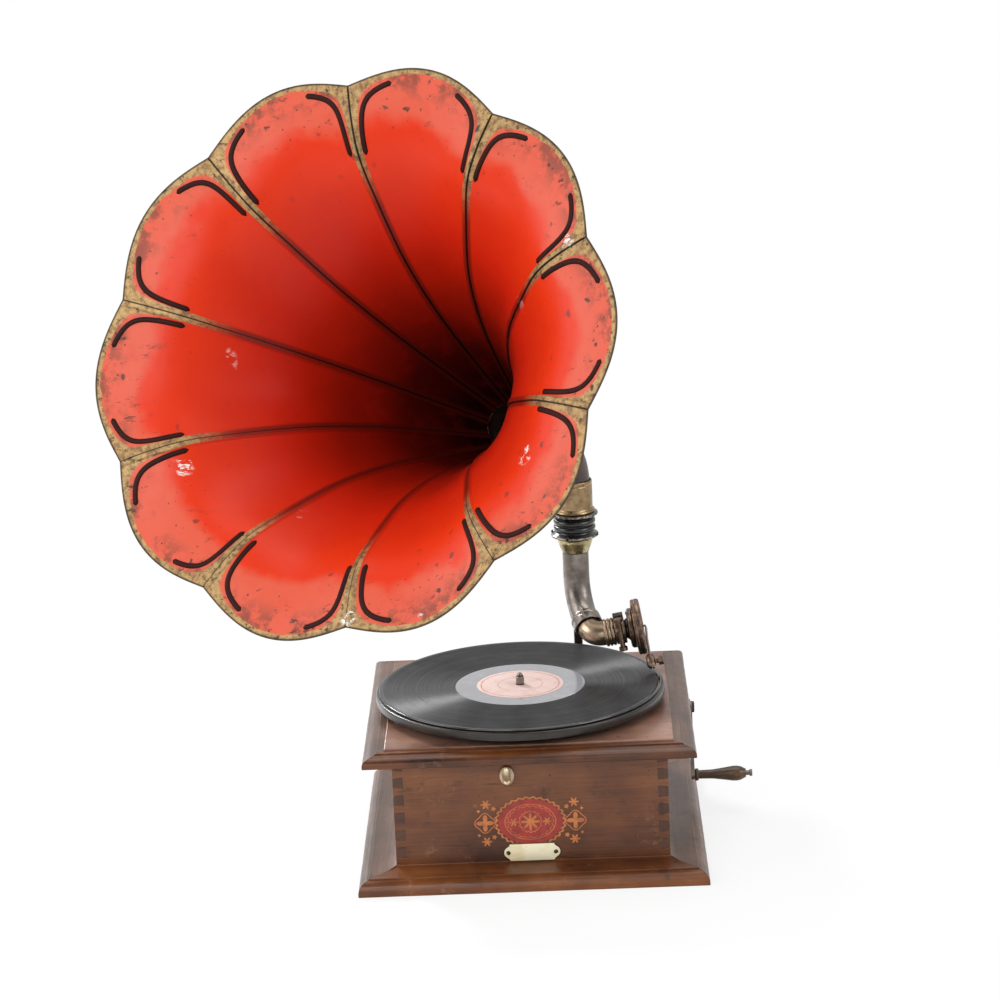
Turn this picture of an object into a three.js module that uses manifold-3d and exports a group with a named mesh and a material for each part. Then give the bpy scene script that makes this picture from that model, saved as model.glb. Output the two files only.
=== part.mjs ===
// Horn gramophone with an external flower horn, in millimetres.
// Origin: centre of the plinth's underside. +X is right, -Y is the front, +Z is up.
import * as THREE from 'three';
import { mergeVertices } from 'three/addons/utils/BufferGeometryUtils.js';
import Module from 'manifold-3d';

const wasm = await Module();
wasm.setup();

// Clearances: a glue line between fixed wooden pieces, a seat between fixed metal ones,
// running room between pieces that turn, and the overrun of a cutting tool past a face.
const glue = 0.1;
const seat = 0.3;
const running = 0.3;
const overrun = 2;

// Wooden case: four dovetailed boards on a bottom board, a moulded plinth and a moulded lid.
const box = { width: 237, depth: 235, board: 9, base: 6, top: 112.8 };
const dovetail = { pitch: 16, height: 8, first: 11.5, taper: 1.1 };
const plinth = {
  width: 302, depth: 300, nose: 2.4, ovoloRise: 10,
  ovoloRun: 9, step: 1.2, fillet: 1.8, height: 16.5,
};
const lid = { width: 285.4, depth: 282.7, nose: 3, ovoloRise: 6.2, ovoloRun: 11.7, step: 1.2 };
const panel = { width: 248.5, depth: 246.3, thickness: 12, spindleHole: 6 };

// Turntable, record and the spindle that turns them.
const spindleAt = { x: -7, y: -6 };
const record = {
  radius: 125, thickness: 2, hole: 3.8, top: 140.7,
  grooveEdge: 58, rimBead: 0.4, beadWidth: 2.5,
};
const turntable = { radius: 127.8, plate: 2.4, rim: 7.2, wall: 2.2, hubRadius: 13, hubDrop: 10 };
const spindle = { radius: 3.6, proud: 10, shaft: 4, foot: 24, collar: 6.5, collarHeight: 4 };

// Spring motor hung under the lid panel. Wheel sizes are teeth and modules.
const barrelAt = { x: 50, y: 63 };
const motor = { left: -34, right: 97, front: -40, back: 104, plate: 3, pillar: 4, inset: 7, floor: 18 };
const greatWheel = { teeth: 32, module: 2.5, z: 27, width: 3 };
const secondPinion = { teeth: 8, module: 2.5, width: 9 };
const secondWheel = { teeth: 32, module: 2.3, z: 97, width: 2.5 };
const spindlePinion = { teeth: 8, module: 2.3, width: 7 };
const tipShare = 0.7;
const rootShare = 1.4;
const tipThicknessShare = 0.16;
const barrel = { radius: 29, height: 34, wall: 1.6, floor: 2, hole: 8 };
const mainspring = { inner: 8, strip: 1.1, turns: 4, height: 26, lift: 3 };
const arbor = { radius: 4, foot: 22 };
const ratchet = { teeth: 16, radius: 19, depth: 2.8, z: 71, width: 3 };
const crown = { teeth: 20, inner: 20.4, outer: 27, disc: 2.4, toothWidth: 2.4, toothHeight: 4.2 };
const click = { length: 17, width: 5, thickness: 2.4, pin: 2, lift: 0.5 };
const worm = { radius: 5, length: 16, pitch: 5.2, thread: 1 };
const wormWheel = { teeth: 16, radius: 13, depth: 1.6, width: 6, z: 45 };
const governor = {
  shaft: 2, from: -15, to: 80, lug: 4,
  lugWidth: 12, disc: 30, discRadius: 16, discWidth: 2,
};
const balls = {
  from: 52, to: 76, hub: 5, hubLength: 4, radius: 4.5,
  reach: 15, count: 3, blade: 1.2, bladeWidth: 4,
};

// Winding crank on the right of the case.
const crankAt = { y: 63, z: 90 };
const crank = {
  shaft: 4, end: 70, sleeve: 7.3, armX: 144, arm: 3,
  armWidth: 11, endWidth: 8.8, reach: 62, swing: -26,
};
const crankPinion = { teeth: 8, module: 2.3, width: 6 };
const handle = { length: 46, flange: 5.6, start: 3.4, pin: 2.2, pinHead: 3.2, tip: 2.4 };
const gripRadii = { neck: 4, waist: 4.2, swell: 5.5, belly: 7, shoulder: 6.6, cap: 4.9 };
const gripLengthShares = { neck: 0.12, waist: 0.3, swell: 0.52, belly: 0.76, shoulder: 0.88, cap: 0.97 };
const escutcheon = { radius: 13, plate: 2.2, boss: 7.5, bossLength: 5 };

// Start and stop lever on the front, with the brake rod behind it.
const leverAt = { x: -20, z: 98 };
const lever = { rosette: 6.5, rosettePlate: 1.8, dome: 1.4, shaft: 2.4, ball: 3.4, tilt: 29, inside: 9 };
const bullet = {
  length: 27, neck: 2, body: 3.7, bodyStart: 9, nose: 8,
  noseMiddle: 3, noseEnd: 1.7, tip: 1, collar: 3.2,
};
const brake = { rod: 2, pad: 6, padDepth: 5, bend: 9, run: 12, drift: 8 };

// Bracket behind the case, and the flanged ring that carries the arm and the horn.
const pivot = { x: 46.5, y: 80 };
const ring = { bottom: 251, top: 274, flange: 21.4, flangeHeight: 5.4, chamfer: 0.6, groove: 18, bore: 13 };
const bracket = { width: 11, thickness: 8, bevel: 1.2, stand: 152, rise: 84, bend: 26 };
const foot = { width: 58, height: 46, thickness: 5, drop: 11.5, corner: 11, bossFoot: 11, bossTop: 8.2 };

// Tone arm: cup, bent tube, band, elbow and sound box. Directions are in degrees.
const cup = { radius: 15.8, neck: 12, height: 14, rimHeight: 4.2, spigot: 12.6, wall: 1.6 };
const tube = { radius: 11.8, wall: 1.4, bend: 42, down: 25, yaw: 18.1, joint: 33.7, drop: 82 };
const band = { radius: 13.4, back: 10, ahead: 2, ease: 0.7 };
const elbow = {
  radius: 11, wall: 1.4, inlet: 12.6, bend: 12, outlet: 20,
  rise: 9, bead: 12.6, beads: 3, beadRadius: 1.6,
};
const soundBox = {
  at: 41.5, radius: 25.2, thickness: 8, backRadius: 18,
  back: 5, wall: 2, ring: 2.2, bore: 5.5,
};
const diaphragm = { radius: 22.4, thickness: 0.6, boss: 3.2, bossHeight: 1.4 };
const fork = { outlet: 12, wall: 3.4, length: 9, block: 9, height: 27, pin: 2.4, head: 4, headHeight: 3 };
const stylus = {
  rod: 1.1, angle: -54, screw: 2, screwLength: 2.5,
  screwAt: 7.15, head: 4, headLength: 4.5,
};
const chuck = { at: 27.5, radius: 4.2, length: 13, top: 2.9, topLength: 2, foot: 2.5, footLength: 2.6 };
const needle = { radius: 0.8, tip: 0.15, taper: 6, length: 14, above: 0.3 };

// Horn: mouth, throat and neck, on an axis that leaves the pivot upwards and to the front.
const horn = { yaw: -27.25, pitch: 24.69, height: 326.8, length: 420.3, phase: 28.27, petals: 10 };
const bell = { mouth: 218.3, depth: 292, wall: 0.8, lobe: 234, throat: 20.6 };
const seam = { width: 4, fillet: 1.2, ridge: 1.3, gap: 0.3 };
const throat = { length: 42, wall: 1 };
const neck = { radius: 15.2, bend: 45, wall: 1.2 };
const collar = { radius: 17, height: 29, lip: 19, lipHeight: 3, spigot: 11, spigotRadius: 12.6, ease: 0.9 };

// Depth and radius of the seams as shares of the bell's depth and of its mouth.
const bellShares = [
  [0, 1],
  [0.025, 0.868],
  [0.07, 0.752],
  [0.17, 0.628],
  [0.34, 0.454],
  [0.55, 0.31],
  [0.79, 0.19],
];
const lobeDecayShare = 0.16;
const roundShare = 0.95;
const slopeStepShare = 0.01;

const finish = (colour, roughness, metalness) =>
  new THREE.MeshStandardMaterial({ color: colour, roughness, metalness });
const walnut = finish(0x6b4630, 0.45, 0);
const walnutDark = finish(0x553622, 0.5, 0);
const plywood = finish(0x8c6a4a, 0.7, 0);
const shellac = finish(0x333237, 0.25, 0);
const blackIron = finish(0x1c1b1a, 0.5, 0.6);
const greySteel = finish(0x857c78, 0.4, 0.9);
const brass = finish(0xa89c88, 0.38, 0.9);
const motorBrass = finish(0xb08d4a, 0.4, 0.9);
const leverBrass = finish(0xd8cc9a, 0.3, 0.95);
const bronze = finish(0x6e5e50, 0.42, 0.85);
const mica = finish(0xc8c2b0, 0.2, 0);
const redPaint = finish(0xe23a1c, 0.4, 0.1);
const brownPaint = finish(0x3a2018, 0.5, 0.2);

const turn = 2 * Math.PI;
const radians = THREE.MathUtils.degToRad;
const up = new THREE.Vector3(0, 0, 1);
const vector = (x, y, z) => new THREE.Vector3(x, y, z);

// Solids

// Gives one closed surface: shared corners merged and collapsed triangles dropped.
function welded(geometry) {
  const loose = geometry.index ? geometry.toNonIndexed() : geometry.clone();
  const bare = new THREE.BufferGeometry();
  bare.setAttribute('position', loose.getAttribute('position'));
  const merged = mergeVertices(bare, 1e-4);
  const kept = [];
  const index = merged.index.array;
  for (let i = 0; i < index.length; i += 3) {
    const [a, b, c] = [index[i], index[i + 1], index[i + 2]];
    if (a !== b && b !== c && c !== a) kept.push(a, b, c);
  }
  merged.setIndex(kept);
  return merged;
}

function toSolid(geometry) {
  const merged = welded(geometry);
  const vertProperties = new Float32Array(merged.attributes.position.array);
  const triVerts = new Uint32Array(merged.index.array);
  return new wasm.Manifold(new wasm.Mesh({ numProp: 3, vertProperties, triVerts }));
}

function toGeometry(solid) {
  const mesh = solid.getMesh();
  const geometry = new THREE.BufferGeometry();
  geometry.setAttribute('position', new THREE.BufferAttribute(mesh.vertProperties, 3));
  geometry.setIndex(new THREE.BufferAttribute(mesh.triVerts, 1));
  return geometry;
}

const join = (...parts) => toGeometry(parts.map(toSolid).reduce((a, b) => a.add(b)));
const cut = (part, ...tools) =>
  toGeometry(tools.map(toSolid).reduce((left, tool) => left.subtract(tool), toSolid(part)));

// A block between two corners.
function block(x0, x1, y0, y1, z0, z1) {
  const geometry = new THREE.BoxGeometry(x1 - x0, y1 - y0, z1 - z0);
  return geometry.translate((x0 + x1) / 2, (y0 + y1) / 2, (z0 + z1) / 2);
}

// A revolve about +Z of a profile of [radius, height] points that runs upwards on the outside.
function revolve(profile, sides = 24) {
  const points = profile.map(([r, z]) => new THREE.Vector2(r, z));
  return new THREE.LatheGeometry(points, sides).rotateX(Math.PI / 2);
}

const rod = (radius, z0, z1, sides = 14) =>
  revolve([[0, z0], [radius, z0], [radius, z1], [0, z1]], sides);

const pipe = (inner, outer, z0, z1, sides = 20) =>
  revolve([[inner, z0], [outer, z0], [outer, z1], [inner, z1], [inner, z0]], sides);

// Turns a shape whose axis is +Z to point along a direction, with its origin at a place.
function aim(geometry, direction, place = vector(0, 0, 0)) {
  const spin = new THREE.Quaternion().setFromUnitVectors(up, direction.clone().normalize());
  return geometry.applyQuaternion(spin).translate(place.x, place.y, place.z);
}

function extrude(points, depth) {
  const shape = new THREE.Shape(points.map(([x, y]) => new THREE.Vector2(x, y)));
  return new THREE.ExtrudeGeometry(shape, { depth, bevelEnabled: false });
}

const arcPoints = (cx, cy, rx, ry, from, to, count) =>
  Array.from({ length: count + 1 }, (_, i) => {
    const angle = from + ((to - from) * i) / count;
    return [cx + rx * Math.cos(angle), cy + ry * Math.sin(angle)];
  });

// A path of straight runs whose corners are circular arcs.
class BentPath extends THREE.Curve {
  constructor(corners, radius) {
    super();
    this.runs = [];
    let from = corners[0];
    for (let i = 1; i < corners.length - 1; i++) {
      const into = corners[i].clone().sub(corners[i - 1]).normalize();
      const out = corners[i + 1].clone().sub(corners[i]).normalize();
      const angle = into.angleTo(out);
      const tangent = radius * Math.tan(angle / 2);
      const start = corners[i].clone().addScaledVector(into, -tangent);
      const inward = out.clone().addScaledVector(into, -into.dot(out)).normalize();
      this.addLine(from, start);
      this.runs.push({ start, into, inward, radius, angle, length: radius * angle });
      from = corners[i].clone().addScaledVector(out, tangent);
    }
    this.addLine(from, corners[corners.length - 1]);
    this.total = this.runs.reduce((sum, run) => sum + run.length, 0);
  }

  addLine(from, to) {
    const into = to.clone().sub(from);
    const length = into.length();
    this.runs.push({ start: from.clone(), into: into.normalize(), length, angle: 0 });
  }

  getPoint(t, target = new THREE.Vector3()) {
    let left = t * this.total;
    let run = this.runs[0];
    for (run of this.runs) {
      if (left <= run.length) break;
      left -= run.length;
    }
    left = Math.min(left, run.length);
    target.copy(run.start);
    if (!run.angle) return target.addScaledVector(run.into, left);
    const angle = left / run.radius;
    target.addScaledVector(run.into, run.radius * Math.sin(angle));
    return target.addScaledVector(run.inward, run.radius * (1 - Math.cos(angle)));
  }
}

// A closed body from rings of points: each ring joins the next, and the last joins the first.
function lofted(rings) {
  const sides = rings[0].length;
  const positions = rings.flat().flatMap((p) => [p.x, p.y, p.z]);
  const index = [];
  for (let i = 0; i < rings.length; i++) {
    const next = (i + 1) % rings.length;
    for (let j = 0; j < sides; j++) {
      const k = (j + 1) % sides;
      const [a, b, c, d] = [i * sides + j, i * sides + k, next * sides + k, next * sides + j];
      index.push(a, b, d, b, c, d);
    }
  }
  const geometry = new THREE.BufferGeometry();
  geometry.setAttribute('position', new THREE.Float32BufferAttribute(positions, 3));
  return geometry.setIndex(index);
}

// A hollow tube along a path, whose outer radius is a function of the share of the way.
function hollowTube(path, radiusAt, wall, steps, sides = 24) {
  const frames = path.computeFrenetFrames(steps, false);
  const centres = path.getSpacedPoints(steps);
  const ringAt = (i, inset) =>
    Array.from({ length: sides }, (_, j) => {
      const angle = (turn * j) / sides;
      const radius = radiusAt(i / steps) - inset;
      return centres[i].clone()
        .addScaledVector(frames.normals[i], radius * Math.cos(angle))
        .addScaledVector(frames.binormals[i], radius * Math.sin(angle));
    });
  const outside = centres.map((_, i) => ringAt(i, 0));
  const inside = centres.map((_, i) => ringAt(i, wall)).reverse();
  return lofted([...outside, ...inside]);
}

// A solid bar of a given outline along a path.
function barAlong(path, outline, steps) {
  const shape = new THREE.Shape(outline.map(([x, y]) => new THREE.Vector2(x, y)));
  return new THREE.ExtrudeGeometry(shape, { steps, extrudePath: path, bevelEnabled: false });
}

const roundOutline = (radius, sides = 10) =>
  arcPoints(0, 0, radius, radius, 0, turn * (1 - 1 / sides), sides - 1);

const model = new THREE.Group();

function add(parent, name, geometry, material) {
  const mesh = new THREE.Mesh(geometry, material);
  mesh.name = name;
  parent.add(mesh);
  return mesh;
}

// Toothed wheels

const pitchRadius = ({ teeth, module }) => (teeth * module) / 2;

// A spur wheel about +Z with tooth 0 at an angle, resting at height z.
function spurWheel(wheel, z, toothAngle = 0) {
  const root = pitchRadius(wheel) - rootShare * wheel.module;
  const tip = pitchRadius(wheel) + tipShare * wheel.module;
  const step = turn / wheel.teeth;
  const halfTip = (tipThicknessShare * step) / 2;
  const outline = [];
  for (let i = 0; i < wheel.teeth; i++) {
    const middle = toothAngle + i * step;
    for (const [r, angle] of [[tip, -halfTip], [tip, halfTip], [root, step / 2]]) {
      outline.push([r * Math.cos(middle + angle), r * Math.sin(middle + angle)]);
    }
  }
  return extrude(outline, wheel.width).translate(0, 0, z);
}

// Case

// A moulding along one side: its profile is [outwards, up] from the inner face, its ends are mitred.
function moulding(profile, innerHalf, faceAt, outwards, z) {
  const half = innerHalf - glue;
  const strip = extrude(profile, 2 * half).translate(0, 0, -half);
  const at = strip.attributes.position;
  for (let i = 0; i < at.count; i++) {
    at.setZ(i, Math.sign(at.getZ(i)) * (half + at.getX(i)));
  }
  const along = new THREE.Vector3().crossVectors(outwards, up);
  strip.applyMatrix4(new THREE.Matrix4().makeBasis(outwards, up, along));
  const offset = outwards.clone().multiplyScalar(faceAt + glue);
  return strip.translate(offset.x, offset.y, z);
}

const sidesOfCase = [
  ['front', vector(0, -1, 0)],
  ['back', vector(0, 1, 0)],
  ['left', vector(-1, 0, 0)],
  ['right', vector(1, 0, 0)],
];

function addMouldings(prefix, profileOf, size, inner, z) {
  for (const [side, outwards] of sidesOfCase) {
    const acrossX = outwards.x !== 0;
    const faceAt = (acrossX ? inner.width : inner.depth) / 2;
    const innerHalf = (acrossX ? inner.depth : inner.width) / 2;
    const width = (acrossX ? size.width : size.depth) / 2 - faceAt - glue;
    const strip = moulding(profileOf(width), innerHalf, faceAt, outwards, z);
    add(model, `${prefix}_${side}`, strip, walnut);
  }
}

// Plinth: a nose, an ovolo, a small step and a cove that rises to the boards.
function plinthProfile(width) {
  const ovoloTop = plinth.nose + plinth.ovoloRise;
  const shoulder = width - plinth.ovoloRun;
  const coveStart = shoulder - plinth.fillet;
  const coveFoot = ovoloTop + plinth.step;
  return [
    [0, 0],
    [width, 0],
    ...arcPoints(shoulder, plinth.nose, plinth.ovoloRun, plinth.ovoloRise, 0, Math.PI / 2, 6),
    [shoulder, coveFoot],
    ...arcPoints(coveStart, plinth.height, coveStart, plinth.height - coveFoot, -Math.PI / 2, -Math.PI, 4),
  ];
}

// Lid: a nose, a quarter round and a flat that runs to the raised panel.
function lidProfile(width) {
  const ovoloTop = lid.nose + lid.ovoloRise;
  const shoulder = width - lid.ovoloRun;
  return [
    [0, 0],
    [width, 0],
    ...arcPoints(shoulder, lid.nose, lid.ovoloRun, lid.ovoloRise, 0, Math.PI / 2, 6),
    [shoulder, ovoloTop + lid.step],
    [0, ovoloTop + lid.step],
  ];
}

// Heights of the dovetail pins, clipped to the board.
const pinHeights = [];
for (let z = dovetail.first; z < box.top; z += dovetail.pitch) pinHeights.push(z);

// A board with toothed ends, as [along, height] points. Its ends have pins, or else sockets.
function boardOutline(half, standOut) {
  const [low, high] = [box.base + glue, box.top - glue];
  const sign = standOut ? 1 : -1;
  const halfPin = (dovetail.height - sign * glue) / 2;
  const edge = [];
  for (const z of pinHeights) {
    const from = Math.max(z - halfPin, low);
    const to = Math.min(z + halfPin, high);
    if (to <= from) continue;
    const rise = sign * box.board;
    edge.push([half, from], [half + rise, from], [half + rise, to], [half, to]);
  }
  const points = [[half, low], ...edge, [half, high]];
  const mirrored = points.map(([x, z]) => [-x, z]).reverse();
  return [...points, ...mirrored].filter(([x, z], i, all) => {
    const [px, pz] = all[(i + all.length - 1) % all.length];
    return Math.abs(x - px) + Math.abs(z - pz) > glue / 2;
  });
}

// Slopes the sides of pins or sockets by a share of the taper that depends on the place.
function taperPins(geometry, taperShare) {
  const at = geometry.attributes.position;
  for (let i = 0; i < at.count; i++) {
    const z = at.getY(i);
    const pin = pinHeights.find((height) => Math.abs(Math.abs(z - height) - dovetail.height / 2) < glue);
    if (pin === undefined) continue;
    at.setY(i, z + Math.sign(z - pin) * dovetail.taper * taperShare(at, i));
  }
  return geometry;
}

function addCaseBoards() {
  const halfWidth = box.width / 2;
  const shoulder = box.depth / 2 - box.board - glue;
  const standUp = new THREE.Matrix4().makeBasis(vector(1, 0, 0), up, vector(0, -1, 0));
  const wall = () => {
    const outline = boardOutline(halfWidth, false);
    const board = extrude(outline, box.board);
    const socketDepth = (at, i) => (halfWidth - Math.abs(at.getX(i))) / box.board;
    return taperPins(board, socketDepth).applyMatrix4(standUp);
  };
  const leverHole = rod(lever.shaft + running, -box.board - overrun, box.board + overrun)
    .rotateX(Math.PI / 2)
    .translate(leverAt.x, -box.depth / 2, leverAt.z);
  const front = wall().translate(0, -box.depth / 2 + box.board, 0);
  add(model, 'case_front', cut(front, leverHole), walnut);
  add(model, 'case_back', wall().translate(0, box.depth / 2, 0), walnut);
  const sideways = new THREE.Matrix4().makeBasis(vector(0, 1, 0), up, vector(1, 0, 0));
  const side = (outwards) => {
    const board = extrude(boardOutline(shoulder, true), box.board);
    const pinDepth = (at, i) => (outwards > 0 ? 1 - at.getZ(i) / box.board : at.getZ(i) / box.board);
    return taperPins(board, pinDepth).applyMatrix4(sideways);
  };
  add(model, 'case_left', side(-1).translate(-halfWidth, 0, 0), walnut);
  const right = side(1).translate(halfWidth - box.board, 0, 0);
  const crankHole = rod(crank.shaft + running + seat, -box.board - overrun, box.board + overrun)
    .rotateY(Math.PI / 2)
    .translate(halfWidth, crankAt.y, crankAt.z);
  add(model, 'case_right', cut(right, crankHole), walnut);
}

function addCase() {
  const [halfWidth, halfDepth] = [box.width / 2, box.depth / 2];
  add(model, 'bottom_board', block(-halfWidth, halfWidth, -halfDepth, halfDepth, 0, box.base), plywood);
  addMouldings('plinth', plinthProfile, plinth, box, 0);
  addCaseBoards();
  addMouldings('lid', lidProfile, lid, panel, box.top);
  const top = block(
    -panel.width / 2, panel.width / 2, -panel.depth / 2, panel.depth / 2, box.top, box.top + panel.thickness,
  );
  const hole = rod(panel.spindleHole, box.top - overrun, box.top + panel.thickness + overrun)
    .translate(spindleAt.x, spindleAt.y, 0);
  add(model, 'top_board', cut(top, hole), walnut);
}

// Turntable, record and spindle

const secondAt = gearCentre();
const plateTop = box.top - seat;

// Centre of the second arbor: where the great wheel's pinion and the spindle's pinion are both in mesh.
function gearCentre() {
  const toBarrel = pitchRadius(greatWheel) + pitchRadius(secondPinion);
  const toSpindle = pitchRadius(secondWheel) + pitchRadius(spindlePinion);
  const [dx, dy] = [spindleAt.x - barrelAt.x, spindleAt.y - barrelAt.y];
  const apart = Math.hypot(dx, dy);
  const along = (apart * apart + toBarrel * toBarrel - toSpindle * toSpindle) / (2 * apart);
  const aside = Math.sqrt(Math.max(toBarrel * toBarrel - along * along, 0));
  return {
    x: barrelAt.x + (dx * along - dy * aside) / apart,
    y: barrelAt.y + (dy * along + dx * aside) / apart,
  };
}

const bearing = (from, to) => Math.atan2(to.y - from.y, to.x - from.x);
const halfStep = ({ teeth }) => Math.PI / teeth;

function addTurntable() {
  const top = record.top - record.thickness - glue;
  const { radius, plate, rim, wall } = turntable;
  const inner = spindle.radius + glue;
  const dish = revolve([
    [inner, top - turntable.hubDrop],
    [turntable.hubRadius, top - turntable.hubDrop],
    [turntable.hubRadius, top - plate],
    [radius - wall, top - plate],
    [radius - wall, top - rim],
    [radius, top - rim],
    [radius, top],
    [inner, top],
    [inner, top - turntable.hubDrop],
  ], 36);
  add(model, 'turntable', dish.translate(spindleAt.x, spindleAt.y, 0), blackIron);
  const bottom = record.top - record.thickness;
  const disc = revolve([
    [record.hole, bottom],
    [record.radius, bottom],
    [record.radius, record.top],
    [record.radius - record.beadWidth, record.top],
    [record.grooveEdge, record.top - record.rimBead],
    [record.hole, record.top],
    [record.hole, bottom],
  ], 36);
  add(model, 'record', disc.translate(spindleAt.x, spindleAt.y, 0), shellac);
  addSpindle(top);
}

function addSpindle(deckTop) {
  const tip = record.top + spindle.proud;
  const shoulder = deckTop - turntable.hubDrop - seat;
  const shaft = revolve([
    [0, spindle.foot],
    [spindle.shaft, spindle.foot],
    [spindle.shaft, shoulder - spindle.collarHeight],
    [spindle.collar - spindle.shaft / 2, shoulder - spindle.collarHeight],
    [spindle.collar - spindle.shaft / 2, shoulder],
    [spindle.radius, shoulder],
    [spindle.radius, tip - spindle.radius],
    [spindle.radius / 2, tip],
    [0, tip],
  ], 12);
  const gap = bearing(spindleAt, secondAt) + halfStep(spindlePinion);
  const pinionZ = secondWheel.z - (spindlePinion.width - secondWheel.width) / 2;
  const pinion = spurWheel(spindlePinion, pinionZ, gap);
  const wheelOutline = [];
  for (let i = 0; i < wormWheel.teeth; i++) {
    const step = turn / wormWheel.teeth;
    for (const [radius, share] of [[wormWheel.radius - wormWheel.depth, 0], [wormWheel.radius, 1 / 2]]) {
      wheelOutline.push([radius * Math.cos((i + share) * step), radius * Math.sin((i + share) * step)]);
    }
  }
  const wheel = extrude(wheelOutline, wormWheel.width).translate(0, 0, wormWheel.z - wormWheel.width / 2);
  const whole = join(shaft, pinion, wheel).translate(spindleAt.x, spindleAt.y, 0);
  add(model, 'spindle', whole, greySteel);
}

// Motor

const governorY = spindleAt.y - wormWheel.radius - worm.radius - worm.thread - running;

function addMotorFrame() {
  const { left, right, front, back, plate, pillar, inset, floor } = motor;
  const plateZ = plateTop - plate;
  const rows = [front + inset, back - inset];
  const corners = [left + inset, right - inset].flatMap((x) => rows.map((y) => [x, y]));
  const lugX = crank.end + crankPinion.width + overrun;
  const lugDrop = crankAt.z - 2 * crank.shaft;
  const top = block(left, right, front, back, plateZ, plateTop);
  const crankLug = block(
    lugX, lugX + governor.lug,
    crankAt.y - 2 * crank.shaft, crankAt.y + 2 * crank.shaft,
    lugDrop, plateZ + plate / 2,
  );
  const crankBore = rod(crank.shaft + running, lugX - overrun, lugX + governor.lug + overrun)
    .rotateY(Math.PI / 2)
    .translate(0, crankAt.y, crankAt.z);
  const bores = [spindleAt, secondAt, barrelAt].map(({ x, y }) =>
    rod(arbor.radius + running, plateZ - overrun, plateTop + overrun).translate(x, y, 0));
  add(model, 'motor_plate', cut(join(top, crankLug), crankBore, ...bores), greySteel);

  const bottom = block(left, right, front, back, floor - plate, floor);
  const pillars = corners.map(([x, y]) =>
    rod(pillar, floor - plate / 2, plateZ - seat, 8).translate(x, y, 0));
  const lugs = [governor.from - governor.lug, governor.to].map((x) =>
    block(
      x, x + governor.lug, governorY - governor.lugWidth / 2, governorY + governor.lugWidth / 2,
      floor - plate / 2, wormWheel.z + governor.lugWidth / 2,
    ));
  const reach = (governor.to - governor.from) / 2 + governor.lug + overrun;
  const governorBore = rod(governor.shaft + running, -reach, reach)
    .rotateY(Math.PI / 2)
    .translate((governor.from + governor.to) / 2, governorY, wormWheel.z);
  add(model, 'motor_frame', cut(join(bottom, ...pillars, ...lugs), governorBore), greySteel);
}

function addBarrel() {
  const { radius, height, wall, floor, hole } = barrel;
  const base = greatWheel.z + greatWheel.width;
  const bore = arbor.radius + running;
  const drum = revolve([
    [bore, base - floor],
    [radius, base - floor],
    [radius, base + height],
    [hole, base + height],
    [hole, base + height - wall],
    [radius - wall, base + height - wall],
    [radius - wall, base],
    [bore, base],
    [bore, base - floor],
  ], 20);
  const tooth = bearing(barrelAt, secondAt);
  const boreTool = rod(bore, greatWheel.z - overrun, base + overrun);
  const wheel = cut(spurWheel(greatWheel, greatWheel.z, tooth), boreTool);
  add(model, 'spring_barrel', join(drum, wheel).translate(barrelAt.x, barrelAt.y, 0), motorBrass);

  const outer = radius - wall - running;
  const steps = mainspring.turns * 10;
  const radiusAt = (i) => mainspring.inner + ((outer - mainspring.strip - mainspring.inner) * i) / steps;
  const spiral = (offset) =>
    Array.from({ length: steps + 1 }, (_, i) => {
      const angle = (turn * mainspring.turns * i) / steps;
      return [(radiusAt(i) + offset) * Math.cos(angle), (radiusAt(i) + offset) * Math.sin(angle)];
    });
  const strip = extrude([...spiral(mainspring.strip), ...spiral(0).reverse()], mainspring.height);
  strip.translate(barrelAt.x, barrelAt.y, base + mainspring.lift);
  add(model, 'mainspring', strip, greySteel);
}

function addWindingArbor() {
  const crownTop = crankAt.z - pitchRadius(crankPinion) - (rootShare * crankPinion.module) / 2;
  const discTop = crownTop - crown.toothHeight / 2;
  const shaft = rod(arbor.radius, arbor.foot, discTop);
  const disc = rod(crown.outer, discTop - crown.disc, discTop, 24);
  const tooth = block(
    crown.inner, crown.outer, -crown.toothWidth / 2, crown.toothWidth / 2,
    discTop - crown.disc / 2, discTop + crown.toothHeight,
  );
  const step = turn / crown.teeth;
  const teeth = Array.from({ length: crown.teeth }, (_, i) => tooth.clone().rotateZ((i + 1 / 2) * step));
  const saw = [];
  for (let i = 0; i < ratchet.teeth; i++) {
    const angle = (turn * i) / ratchet.teeth;
    const root = ratchet.radius - ratchet.depth;
    saw.push([ratchet.radius * Math.cos(angle), ratchet.radius * Math.sin(angle)]);
    saw.push([root * Math.cos(angle), root * Math.sin(angle)]);
  }
  const wheel = extrude(saw, ratchet.width).translate(0, 0, ratchet.z);
  const whole = join(shaft, disc, wheel, ...teeth).translate(barrelAt.x, barrelAt.y, 0);
  add(model, 'winding_arbor', whole, greySteel);

  // The click rides on a pin that hangs from the plate, just clear of the saw teeth.
  const tip = { x: barrelAt.x - ratchet.radius - click.lift, y: barrelAt.y };
  const pawl = extrude([
    [tip.x, tip.y],
    [tip.x - click.width, tip.y + click.width],
    [tip.x - click.width, tip.y + click.length],
    [tip.x - 2 * click.width, tip.y + click.length],
    [tip.x - 2 * click.width, tip.y + click.width],
  ], click.thickness).translate(0, 0, ratchet.z);
  const pin = rod(click.pin, ratchet.z, plateTop - motor.plate - running, 12)
    .translate(tip.x - 3 * click.width / 2, tip.y + click.length - click.width / 2, 0);
  add(model, 'ratchet_click', join(pawl, pin), greySteel);
}

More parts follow.
